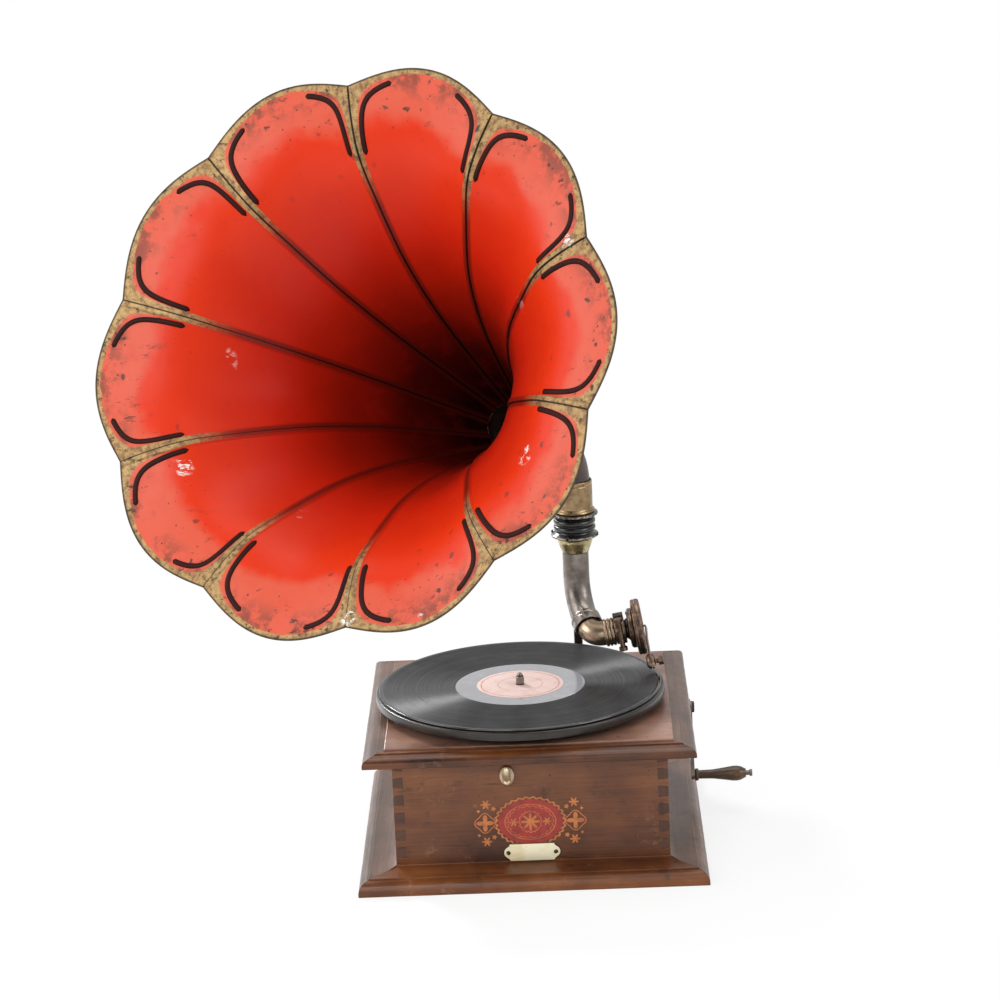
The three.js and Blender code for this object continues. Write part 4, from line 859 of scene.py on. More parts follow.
def swept(path: Array, side: Array, outline: Array, scale: Array | None = None) -> Part:
    """Carry a closed outline along a path: point = path + x * side + y * (tangent x side).

    Args:
        path: n points.
        side: the outline's X direction, one for all or one for each point.
        outline: m [x, y] points.
        scale: one factor for each path point.

    Returns:
        Points and quads of a tube whose ends are drawn together.
    """
    tangent = unit(np.gradient(path, axis=0))
    side = np.broadcast_to(np.asarray(side, dtype=float), path.shape)
    side = unit(side - np.sum(side * tangent, axis=1, keepdims=True) * tangent)
    third = np.cross(tangent, side)
    scale = np.ones(len(path)) if scale is None else scale
    grown = outline[None] * scale[:, None, None]
    rings = path[:, None] + grown[..., :1] * side[:, None] + grown[..., 1:] * third[:, None]
    ends = [np.repeat(path[k][None, None], len(outline), axis=1) for k in (0, -1)]
    rings = np.concatenate([ends[0], rings, ends[1]])
    return rings.reshape(-1, 3), grid_faces(len(rings), len(outline), close_columns=True)


def pipe(path: Array, side: Array, outer: float, inner: float, sides: int = 64) -> Part:
    """Return an open pipe: circles round the path at the outer radius, back at the inner one.

    Args:
        path: n points.
        side: a direction square to the path all along.
        outer: outer radius.
        inner: inner radius.
        sides: points round the pipe.

    Returns:
        Points and quads.
    """
    tangent = unit(np.gradient(path, axis=0))
    third = np.cross(tangent, side)
    angle = np.linspace(0, TURN, sides, endpoint=False)
    ring = np.cos(angle)[None, :, None] * side + np.sin(angle)[None, :, None] * third[:, None]
    rings = np.concatenate([path[:, None] + outer * ring, (path[:, None] + inner * ring)[::-1]])
    faces = grid_faces(len(rings), sides, close_rows=True, close_columns=True)
    return rings.reshape(-1, 3), faces


def circle(radius: float, sides: int = 20, flat: float = 1.0) -> Array:
    """Return a circle of [x, y] points whose height is flattened by a share."""
    angle = np.linspace(0, TURN, sides, endpoint=False)
    return np.stack([radius * np.cos(angle), radius * flat * np.sin(angle)], -1)


def rounded_box(width: float, height: float, radius: float, steps: int = 5) -> Array:
    """Return a rectangle with quarter-circle corners.

    Args:
        width: its size along X.
        height: its size along Y.
        radius: the corners' radius.
        steps: points for each corner.

    Returns:
        The outline's [x, y] points.
    """
    quarter = np.linspace(0, math.pi / 2, steps)
    corners = []
    for k, (sx, sy) in enumerate([(1, 1), (-1, 1), (-1, -1), (1, -1)]):
        centre = vec(sx * (width / 2 - radius), sy * (height / 2 - radius))
        turn = quarter + k * math.pi / 2
        corners.append(centre + radius * np.stack([np.cos(turn), np.sin(turn)], -1))
    return np.concatenate(corners)


def joined(*parts: Part) -> Part:
    """Join several parts.

    Args:
        parts: points and quads of each.

    Returns:
        Points and quads of all, in the same order.
    """
    points, faces, count = [], [], 0
    for part_points, part_faces in parts:
        points.append(part_points)
        faces.append(part_faces + count)
        count += len(part_points)
    return np.concatenate(points), np.concatenate(faces)


def slab(outline: Array, thickness: float, round_edge: float = 0.0) -> Part:
    """Return a plate: a closed outline raised along +Z, its upper edge drawn in by a quarter circle.

    Args:
        outline: [x, y] points.
        thickness: height of the plate.
        round_edge: radius of the upper edge.

    Returns:
        Points and quads, with both faces closed towards the middle.
    """
    middle = outline.mean(0)
    size = np.abs(outline - middle).max()
    inset, height = vec(0, 0), vec(0, thickness)
    if round_edge:
        turn = np.linspace(0, math.pi / 2, 4)
        inset = np.concatenate([[0], round_edge * (1 - np.cos(turn))])
        height = np.concatenate([[0], thickness - round_edge + round_edge * np.sin(turn)])
    shrink = np.concatenate([[size], inset, [size]]) / size
    levels = np.concatenate([[0], height, [thickness]])
    rings = []
    for share, z in zip(1 - shrink, levels):
        ring = middle + (outline - middle) * share
        rings.append(np.append(ring, np.full((len(ring), 1), z), 1))
    return np.concatenate(rings), grid_faces(len(rings), len(outline), close_columns=True)


def moved(part: Part, x: float, y: float, z: float) -> Part:
    """Return a part shifted by x, y and z."""
    return part[0] + vec(x, y, z), part[1]


def dress(piece: bpy.types.Object, body: str, slot: str, *nodes: str) -> bpy.types.Object:
    """Tell the frame what a piece is.

    Args:
        piece: the piece.
        body: the body that it rides on.
        slot: its material slot; not used.
        nodes: the CAD nodes that it stands for.

    Returns:
        The piece.
    """
    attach(piece, body)
    if nodes:
        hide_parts(*nodes)
    log.info("%s rides on %s and stands for %s", piece.name, body, ", ".join(nodes) or "no node")
    return piece


def add_piece(
    name: str,
    parts: list[Part],
    finish: Finish,
    body: str,
    slot: str,
    *nodes: str,
    place: Array = ORIGIN,
    rows: Array = UPRIGHT,
    sharp: float = 40.0,
) -> bpy.types.Object:
    """Make a piece of one finish from parts, and dress it.

    Args:
        name: the piece's name.
        parts: points and quads of each part.
        finish: its finish.
        body: the body that it rides on.
        slot: its material slot.
        nodes: the CAD nodes that it stands for.
        place: where the parts' coordinates count from.
        rows: the directions of the parts' X, Y and Z.
        sharp: angle in degrees past which an edge stays crisp.

    Returns:
        The piece.
    """
    points, faces = joined(*parts)
    piece = make_piece(name, set_at(points, rows, place), faces, [finish], sharp=sharp)
    return dress(piece, body, slot, *nodes)


def keep_shape(node: str, finish: Finish) -> None:
    """Leave a CAD node's shape as it is and give it a finish.

    Args:
        node: the CAD node.
        finish: its finish.
    """
    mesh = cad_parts[node].data
    mesh.materials.clear()
    mesh.materials.append(finish.material)
    log.info("%s keeps its shape and takes %s", node, finish.value.name)


def soften(piece: bpy.types.Object, width: float) -> bpy.types.Object:
    """Round a piece's crisp edges with a Bevel.

    Args:
        piece: the piece.
        width: the bevel's width in millimetres.

    Returns:
        The piece.
    """
    bevel = piece.modifiers.new("worn edges", "BEVEL")
    bevel.width = width * MM
    bevel.segments = 2
    bevel.limit_method = "ANGLE"
    bevel.angle_limit = math.radians(38)
    bevel.harden_normals = False
    return piece


def copy_of(node: str, name: str, finish: Finish, sharp: float = 30.0) -> bpy.types.Object:
    """Copy a CAD node as a merged mesh whose flat faces are whole again.

    Args:
        node: the CAD node.
        name: the copy's name.
        finish: its finish.
        sharp: angle in degrees past which an edge stays crisp.

    Returns:
        The copy, at the origin.
    """
    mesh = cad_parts[node].data.copy()
    mesh.name = name
    work = bmesh.new()
    work.from_mesh(mesh)
    bmesh.ops.remove_doubles(work, verts=work.verts, dist=5e-6)
    bmesh.ops.dissolve_limit(work, angle_limit=math.radians(1), verts=work.verts, edges=work.edges)
    work.to_mesh(mesh)
    work.free()
    mesh.materials.clear()
    mesh.materials.append(finish.material)
    mesh.polygons.foreach_set("use_smooth", np.ones(len(mesh.polygons), dtype=bool))
    mesh.set_sharp_from_angle(angle=math.radians(sharp))
    piece = bpy.data.objects.new(name, mesh)
    bpy.context.scene.collection.objects.link(piece)
    return piece


def screw_head(radius: float, height: float, slot_angle: float, slot_width: float = 0.22) -> Part:
    """Return a domed screw head on +Z with a slot.

    The height is a circle's cap that falls to a third at the rim, less a groove where the distance
    from the slot's line is under half its width.

    Args:
        radius: the head's radius.
        height: height of its middle.
        slot_angle: direction of the slot in radians.
        slot_width: share of the radius.

    Returns:
        Points and quads.
    """
    ring = np.linspace(0, 1, 12)[:, None]
    angle = np.linspace(0, TURN, 48, endpoint=False)[None]
    x, y = ring * np.cos(angle), ring * np.sin(angle)
    dome = height * (1 - 0.66 * ring**2) + 0 * angle
    aside = np.abs(x * math.sin(slot_angle) - y * math.cos(slot_angle))
    z = dome - 0.5 * height * (1 - smooth_step(slot_width * 0.8, slot_width * 1.2, aside))
    top = np.stack([radius * x, radius * y, z], -1)
    foot = np.stack([radius * np.cos(angle[0]), radius * np.sin(angle[0]), 0 * angle[0]], -1)[None]
    rings = np.concatenate([top, foot, 0 * foot])
    return rings.reshape(-1, 3), grid_faces(len(rings), 48, close_columns=True)


def screw_ring(
    radius: float, height: float, ring: float, first: float, slot_step: float, lift: float, facing: int = 1
) -> list[Part]:
    """Return three screw heads spread round a circle.

    Args:
        radius: a head's radius.
        height: a head's height.
        ring: radius of the circle.
        first: direction of the first screw in radians.
        slot_step: how much each slot is turned from the one before.
        lift: height of their seats.
        facing: 1 to face +Z and -1 to face -Z.

    Returns:
        Points and quads of each head.
    """
    heads = []
    for k in range(3):
        turn = first + k * TURN / 3
        points, faces = screw_head(radius, height, slot_step * k)
        head = points * [1, 1, facing], faces
        heads.append(moved(head, ring * math.cos(turn), ring * math.sin(turn), lift))
    return heads


# Sub-assemblies


@dataclass
class WoodenCase:
    """Plinth, dovetailed boards, lid border and raised panel, with the plate and the print on the front."""

    width: float = 237.0
    depth: float = 235.0
    top: float = 112.8
    glue: float = 0.1
    plinth: tuple[float, float] = (302.0, 300.0)
    lid: tuple[float, float] = (285.4, 282.7)
    panel: tuple[float, float] = (248.5, 246.3)
    plate_at: tuple[float, float] = (-0.8, 24.4)
    print_at: tuple[float, float] = (-1.4, 52.0)

    def build(self) -> None:
        """Make and dress the case's pieces."""
        self._mouldings("plinth", self._plinth_profile, self.plinth, (self.width, self.depth), 0.0)
        self._mouldings("lid", self._lid_profile, self.lid, self.panel, self.top)
        looks = {
            "case_front": Finish.WALNUT_BOARD,
            "case_back": Finish.WALNUT_BOARD,
            "case_left": Finish.WALNUT_SIDE,
            "case_right": Finish.WALNUT_SIDE,
            "top_board": Finish.WALNUT_TOP,
            "bottom_board": Finish.BARE_WOOD,
        }
        for node, finish in looks.items():
            board = copy_of(node, node + "_wood", finish)
            soften(board, 0.9 if node == "top_board" else 0.25)
            dress(board, "case", "plywood" if node == "bottom_board" else "walnut", node)
        self._plate()
        self._print()

    def _plinth_profile(self, width: float) -> Array:
        """Return the plinth's section: nose, ovolo, step and a cove up to the boards.

        Args:
            width: how far it reaches from the boards.

        Returns:
            [outwards, up] points.
        """
        nose, rise, run, step, fillet_run, height = 2.4, 10.0, 9.0, 1.2, 1.8, 16.5
        turn = np.linspace(0, math.pi / 2, 14)
        ovolo = np.stack([width - run + run * np.cos(turn), nose + rise * np.sin(turn)], -1)
        foot = nose + rise + step
        start = width - run - fillet_run
        bend = np.linspace(-math.pi / 2, -math.pi, 12)
        cove = np.stack([start + start * np.cos(bend), height + (height - foot) * np.sin(bend)], -1)
        return np.array([
            [0, 0], [width - 0.5, 0], [width, 0.5], *ovolo, [width - run, foot - 0.3],
            [width - run - 0.3, foot], *cove,
        ], dtype=float)

    def _lid_profile(self, width: float) -> Array:
        """Return the lid border's section: nose, quarter round, step and flat.

        Args:
            width: how far it reaches from the panel.

        Returns:
            [outwards, up] points.
        """
        nose, rise, run, step = 3.0, 6.2, 11.7, 1.2
        turn = np.linspace(0, math.pi / 2, 14)
        ovolo = np.stack([width - run + run * np.cos(turn), nose + rise * np.sin(turn)], -1)
        level = nose + rise + step
        return np.array([
            [0, 0], [width - 0.6, 0], [width, 0.6], *ovolo, [width - run, level - 0.4],
            [width - run - 0.4, level], [0, level],
        ], dtype=float)

    def _mouldings(
        self,
        kind: str,
        profile_of: Callable[[float], Array],
        size: tuple[float, float],
        inner: tuple[float, float],
        z: float,
    ) -> None:
        """Run a section along each side between mitred ends.

        A point of the section at distance x from the inner face ends at plus and minus half the inner
        side plus x. Three sines along the run, at most 0.17 mm deep together, wear the outer faces.

        Args:
            kind: plinth or lid.
            profile_of: the section for a width.
            size: outer width and depth.
            inner: width and depth of what the moulding goes round.
            z: height of its underside.
        """
        sides = {"front": (0, -1), "back": (0, 1), "left": (-1, 0), "right": (1, 0)}
        rng = np.random.default_rng(7 if kind == "lid" else 3)
        for side, (ox, oy) in sides.items():
            face_at = (inner[0] if ox else inner[1]) / 2
            half = (inner[1] if ox else inner[0]) / 2 - self.glue
            width = (size[0] if ox else size[1]) / 2 - face_at - self.glue
            section = profile_of(width)
            share = np.linspace(-1, 1, 61)[:, None]
            x = section[None, :, 0] + 0 * share
            along = share * (half + section[None, :, 0])
            wear, wave_length, depth_length = 0.09, 17, 9
            wave = sum(
                wear / k * np.sin(k * along / wave_length + rng.uniform(0, TURN) + x / depth_length)
                for k in (1, 2, 3)
            )
            x = x - np.abs(wave) * smooth_step(0, 4, x) * (1 - share**8)
            height = section[None, :, 1] + 0 * share
            outwards = vec(ox, oy, 0)
            sideways = np.cross(outwards, vec(0, 0, 1))
            points = (
                (face_at + self.glue + x)[..., None] * outwards
                + along[..., None] * sideways
                + (z + height)[..., None] * vec(0, 0, 1)
            )
            rings = np.concatenate([
                np.broadcast_to(points[:1].mean(1, keepdims=True), points[:1].shape),
                points,
                np.broadcast_to(points[-1:].mean(1, keepdims=True), points[-1:].shape),
            ])
            faces = grid_faces(len(rings), points.shape[1], close_columns=True)
            finish = Finish.WALNUT_DEEP if ox else Finish.WALNUT_ACROSS
            run = [(rings.reshape(-1, 3), faces)]
            add_piece(f"{kind}_{side}_moulding", run, finish, "case", "walnut", f"{kind}_{side}", sharp=34)

    def _front_place(self, at: tuple[float, float], proud: float) -> tuple[Array, Array]:
        """Return the frame and place of something flat on the case front."""
        rows = np.stack([vec(1, 0, 0), vec(0, 0, 1), vec(0, -1, 0)])
        return rows, vec(at[0], -self.depth / 2 - proud, at[1])

    def _plate(self) -> None:
        """Fix the bare ivory plate with its scalloped ends and two dark screws."""
        half_length, half_height, ear, notch = 21.0, 7.6, 5.2, 1.8
        turn = np.linspace(-1.2, 1.2, 11)
        bulge = np.stack([half_length + ear * (np.cos(turn) - math.cos(1.2)), ear * np.sin(turn)], -1)
        corner = np.array([
            [half_length - notch, -half_height], [half_length - notch * 0.7, -half_height + notch],
            [half_length, -half_height + notch * 1.3],
        ])
        right = np.concatenate([corner, bulge, corner[::-1] * [1, -1]])
        outline = np.concatenate([right, right[::-1] * [-1, 1]])
        rows, place = self._front_place(self.plate_at, 0.05)
        pieces = {
            "front_plate": ([slab(outline, 1.1, 0.35)], Finish.IVORY),
            "front_plate_edge": ([slab(outline * [1.028, 1.075], 0.5, 0.2)], Finish.DARK_SCREW),
            "front_plate_screws": (
                [moved(screw_head(1.9, 1.0, slot), x, 0, 1.0) for x, slot in ((-20.6, 0.5), (20.6, 2.1))],
                Finish.DARK_SCREW,
            ),
        }
        for name, (parts, finish) in pieces.items():
            add_piece(name, parts, finish, "case", "lever_brass", place=place, rows=rows)

    def _print(self) -> None:
        """Lay the transfer print: a red oval with a gold rosette and rings, gold medallions and stars.

        Every star and ring is polar: its radius is a mean plus a cosine of a multiple of the angle.
        """
        rows, place = self._front_place(self.print_at, 0.03)
        angle = np.linspace(0, TURN, 97)[:-1]
        ink = 0.05

        def polar(mean: float, swing: float = 0.0, waves: int = 0, wide: float = 1.0) -> Array:
            """Return the outline whose radius swings about a mean, stretched sideways."""
            radius = mean + swing * np.cos(waves * angle)
            return np.stack([wide * radius * np.cos(angle), radius * np.sin(angle)], -1)

        def ring(outline: Array, inner_share: float, z: float) -> Part:
            """Make a thin band between an outline and its shrunk copy.

            Args:
                outline: the outer outline's [x, y] points.
                inner_share: scale of the inner one.
                z: height of the band's underside.

            Returns:
                Points and quads, closed all round.
            """
            pair = np.stack([outline, outline * inner_share])
            low = np.concatenate([pair, np.zeros(pair.shape[:2] + (1,))], -1)
            high = low[::-1] + vec(0, 0, 0.03)
            loop = np.concatenate([low, high]) + vec(0, 0, z)
            return loop.reshape(-1, 3), grid_faces(4, len(outline), close_rows=True, close_columns=True)

        oval = 1.36
        field = slab(polar(20.5, wide=oval), 0.04)
        add_piece("front_print_field", [field], Finish.RED_INK, "case", "walnut", place=place, rows=rows)
        parts = [
            ring(polar(22.8, 0.9, 30, 1.34), 0.94, 0.01),
            ring(polar(16.4, wide=oval), 0.965, 0.05),
            ring(polar(14.6, 0.7, 22, oval), 0.97, 0.05),
            moved(slab(polar(5.6, 2.8, 8), ink), 0, 0, 0.03),
            ring(polar(9.8, 0.5, 16), 0.93, 0.03),
        ]
        stars = ((1.7, 0.5, 5, 31.5, 13), (3.1, 1.4, 6, 38, 17), (1.2, 0.3, 4, 44.5, 11))
        for side in (-1, 1):
            parts.append(moved(slab(polar(2.7, 1.3, 6), ink), side * 14.6, 0, 0.03))
            parts.append(moved(slab(polar(5.0, 2.6, 4), ink), side * 39, 0, 0.0))
            parts.append(moved(ring(polar(8.6, 0.9, 4), 0.9, 0.0), side * 39, 0, 0.0))
            for lift in (-1, 1):
                for mean, swing, waves, x, y in stars:
                    parts.append(moved(slab(polar(mean, swing, waves), ink), side * x, lift * y, 0.0))
        add_piece("front_print_gold", parts, Finish.GOLD_INK, "case", "walnut", place=place, rows=rows)


@dataclass
class Turntable:
    """The iron turntable with its disc, label and spindle."""

    x: float = -7.0
    y: float = -6.0
    top: float = 140.7

    def build(self) -> None:
        """Make and dress the turntable's pieces."""
        deck = self.top - 2.1
        dish = fillet([
            (3.7, deck - 10), (13, deck - 10), (13, deck - 2.4), (125.6, deck - 2.4), (125.6, deck - 7.2),
            (127.8, deck - 7.2), (127.8, deck - 0.8), (126.9, deck), (3.7, deck), (3.7, deck - 10),
        ], 0.5)
        self._turned("turntable_dish", dish, Finish.PLATTER, "black_iron", "turntable", sides=144)
        bottom = self.top - 2.0
        disc = fillet([
            (3.8, bottom), (124.2, bottom), (125, bottom + 0.9), (124.5, self.top), (122.5, self.top - 0.05),
            (121.3, self.top - 0.4), (58, self.top - 0.4), (57, self.top - 0.3), (3.8, self.top - 0.25),
            (3.8, bottom),
        ], 0.4)
        self._turned("record_disc", disc, Finish.SHELLAC, "shellac", "record", sides=180)
        level = self.top - 0.25
        face = level + 0.12
        label = fillet([(3.9, level), (38.4, level), (38.4, face), (3.9, face), (3.9, level)], 0.05)
        self._turned("record_label", label, Finish.LABEL, "shellac", sides=120)
        low, high = level + 0.13, level + 0.16
        for name, inner, outer, sides in (
            ("record_label_ring", 34.3, 35.0, 120),
            ("record_label_line", 19.6, 20.0, 96),
        ):
            line = np.array([(inner, low), (outer, low), (outer, high), (inner, high), (inner, low)])
            self._turned(name, line, Finish.LABEL_RING, "shellac", sides=sides)
        tip = self.top + 10
        pin = fillet([
            (0, deck - 9), (3.6, deck - 9), (3.6, self.top + 1), (2.9, self.top + 2), (3.5, self.top + 4.6),
            (3.1, tip - 2.2), (1.6, tip - 0.4), (0, tip),
        ], 1.2, 5)
        self._turned("spindle_tip", pin, Finish.CAP, "grey_steel", sides=40)
        keep_shape("spindle", Finish.STEEL)

    def _turned(
        self, name: str, profile: Array, finish: Finish, slot: str, *nodes: str, sides: int = 96
    ) -> None:
        """Turn a profile about the spindle and dress it."""
        place = vec(self.x, self.y, 0)
        add_piece(name, [turned(profile, sides)], finish, "turntable", slot, *nodes, place=place, sharp=50)


@dataclass
class WindingCrank:
    """Bush on the case, cranked arm and turned handle."""

    y: float = 63.0
    z: float = 90.0
    arm_x: float = 144.0
    arm: float = 3.0
    reach: float = 62.0
    swing: float = math.radians(-26)

    def build(self) -> None:
        """Make and dress the crank's pieces."""
        along = vec(0, math.sin(self.swing), -math.cos(self.swing))
        hub = vec(0, self.y, self.z)
        end = hub + along * self.reach
        rows = basis(vec(1, 0, 0), vec(0, 1, 0))
        face = 118.5
        bush = fillet([
            (4.3, face + 0.1), (13, face + 0.1), (13, face + 1.1), (11.9, face + 2.2), (7.5, face + 2.2),
            (6.4, face + 5), (4.3, face + 5), (4.3, face + 0.1),
        ], 0.5)
        add_piece(
            "crank_bush", [turned(bush, 64)], Finish.NICKEL, "case", "aged_brass", "crank_escutcheon",
            place=hub, rows=rows,
        )
        screws = screw_ring(1.5, 0.9, 10, 0.6, 1.1, face + 1.9)
        add_piece("crank_bush_screws", screws, Finish.DARK_SCREW, "case", "aged_brass", place=hub, rows=rows)
        arm = copy_of("crank_arm", "crank_arm_steel", Finish.STEEL, 40)
        dress(soften(arm, 0.35), "crank", "grey_steel", "crank_arm")
        start = self.arm_x + self.arm + 0.3
        add_piece(
            "crank_grip", [turned(self._grip(start), 48)], Finish.BEECH, "crank_grip", "handle_wood",
            "crank_handle", place=vec(0, end[1], end[2]), rows=rows, sharp=50,
        )
        keep_shape("crank_shaft", Finish.STEEL)
        nut = moved(slab(circle(5.2, 6), 2.2, 0.5), 0, 0, self.arm_x + self.arm + 0.05)
        add_piece(
            "crank_nut", [nut], Finish.DARK_SCREW, "crank", "grey_steel", place=hub, rows=rows, sharp=25
        )

    def _grip(self, start: float) -> Array:
        """Return the handle's section: a ferrule, then a body that swells and thins.

        Args:
            start: where the ferrule begins.

        Returns:
            [radius, along] points.
        """
        foot, end = start + 3.4, start + 46.0
        shares = np.linspace(0, 1, 40)
        knots = np.array([
            (0, 3.9), (0.12, 4.0), (0.3, 4.2), (0.52, 5.5), (0.76, 7.0), (0.88, 6.6), (0.96, 4.9), (1, 3.4),
        ])
        body = np.interp(shares, knots[:, 0], knots[:, 1])
        body = np.convolve(np.pad(body, 2, mode="edge"), np.ones(5) / 5, mode="valid")
        return np.concatenate([
            [[2.5, start], [5.2, start], [5.6, start + 0.6], [5.6, start + 2.6], [5.0, start + 3.2]],
            np.stack([body, foot + shares * 42.6], -1),
            [[2.5, end], [2.5, start]],
        ])


@dataclass
class StartLever:
    """Oval rosette and bullet-shaped lever on the front, the lever a little under its hole."""

    x: float = -20.0
    z: float = 92.0
    hole_z: float = 98.0
    tilt: float = math.radians(43)

    def build(self) -> None:
        """Make and dress the lever's pieces."""
        face = 117.5
        rows = basis(vec(0, -1, 0), vec(1, 0, 0))
        place = vec(self.x, 0, self.z)
        rosette = fillet([
            (2.7, face + 0.1), (6.5, face + 0.1), (6.5, face + 1.8), (5.1, face + 2.5), (4.1, face + 3.2),
            (2.7, face + 3.2), (2.7, face + 0.1),
        ], 0.6)
        points, faces = turned(rosette, 48)
        oval = points * np.where(np.abs(rows[:, 2]) > 0.5, 1.4, 1.0)
        add_piece(
            "lever_rosette", [(oval, faces)], Finish.NICKEL, "case", "lever_brass", "start_lever_rosette",
            place=vec(self.x, 0, (self.z + self.hole_z) / 2), rows=rows,
        )
        ball_radius = 3.4
        ball_at = face + 1.8 + 1.4 + ball_radius + 0.3
        turn = np.linspace(-math.pi / 2, math.pi / 2, 18)
        ball = np.stack([ball_radius * np.cos(turn), ball_radius * np.sin(turn) + ball_at], -1)
        shaft = fillet([(0, face - 18), (2.4, face - 18), (2.4, ball_at), (0, ball_at)], 0.3)
        lean = vec(0, -math.cos(self.tilt), math.sin(self.tilt))
        knob = fillet([
            (0, 0), (2, 0), (2, 7), (3.2, 7.4), (3.2, 8.4), (3.7, 9), (3.7, 19), (3.3, 22), (2.5, 24.6),
            (1.4, 26.4), (0, 27),
        ], 1.0, 5)
        parts = []
        for profile, directions, at in (
            (ball, rows, place),
            (shaft, rows, place),
            (knob, basis(lean, vec(1, 0, 0)), vec(self.x, -ball_at, self.z)),
        ):
            points, faces = turned(profile, 40)
            parts.append((set_at(points, directions, at), faces))
        add_piece("lever_knob", parts, Finish.LEVER, "start_lever", "lever_brass", "start_lever", sharp=45)


@dataclass
class Bracket:
    """Foot, bar and flanged ring behind the case."""

    x: float = 46.5
    y: float = 80.0

    def build(self) -> None:
        """Make and dress the bracket's pieces."""
        low, high, flange, groove, bore, flange_height = 251.0, 274.0, 21.4, 18.0, 13.0, 5.4
        axis = vec(self.x, self.y, 0)
        ridges = []
        pitch = (high - low - 2 * flange_height) / 2
        for k in range(2):
            turn = np.linspace(-math.pi / 2, math.pi / 2, 9)
            middle = low + flange_height + (k + 0.5) * pitch
            ridges += list(zip(groove - 1.2 + 2.2 * np.cos(turn), middle + 0.46 * pitch * np.sin(turn)))
        body = np.array([
            (bore, low), (flange - 1.6, low), (flange - 0.5, low + 0.7), (flange - 0.5, low + 2.5),
            (flange - 1.6, low + 3.3), (groove - 0.4, low + 4.2), (groove - 1.2, low + flange_height),
            *ridges, (groove - 1.2, high - flange_height), (groove - 0.4, high - 4.2),
            (flange - 1.6, high - 3.3), (flange - 0.5, high - 2.5), (flange - 0.5, high - 0.7),
            (flange - 1.6, high), (bore, high), (bore, low),
        ])
        ring = [turned(body, 96)]
        add_piece("bracket_flanges", ring, Finish.IRON, "case", "black_iron", "bracket_ring", place=axis)
        rims = []
        for level in (low + 1.6, high - 1.6):
            rims.append(turned(fillet([
                (flange - 1.4, level - 1.0), (flange - 0.4, level - 1.0), (flange, level - 0.5),
                (flange, level + 0.5), (flange - 0.4, level + 1.0), (flange - 1.4, level + 1.0),
                (flange - 1.4, level - 1.0),
            ], 0.3, 3), 96))
        add_piece("bracket_flange_edges", rims, Finish.EDGE, "case", "black_iron", place=axis)
        heads = []
        seat = vec(self.x, self.y, low + flange_height / 2)
        for k in range(4):
            turn = -1.9 + k * TURN / 4
            rows = basis(vec(math.cos(turn), math.sin(turn), 0), vec(0, 0, 1))
            points, faces = moved(screw_head(1.7, 1.3, 0.7 + k), 0, 0, flange - 0.25)
            heads.append((set_at(points, rows, seat), faces))
        add_piece("bracket_ring_screws", heads, Finish.DARK_SCREW, "case", "black_iron")
        bar = copy_of("horn_bracket", "bracket_bar", Finish.IRON, 35)
        dress(soften(bar, 0.5), "case", "black_iron", "horn_bracket")
        heads = []
        rows = basis(vec(0, 1, 0), vec(1, 0, 0))
        for dx, dz in ((-22, 1), (22, 1), (-22, -23), (22, -23)):
            points, faces = screw_head(3.6, 1.9, 0.4 + dx * dz)
            heads.append((set_at(points, rows, vec(self.x + dx, 122.5, 84 + dz)), faces))
        add_piece("bracket_foot_screws", heads, Finish.DARK_SCREW, "case", "black_iron")


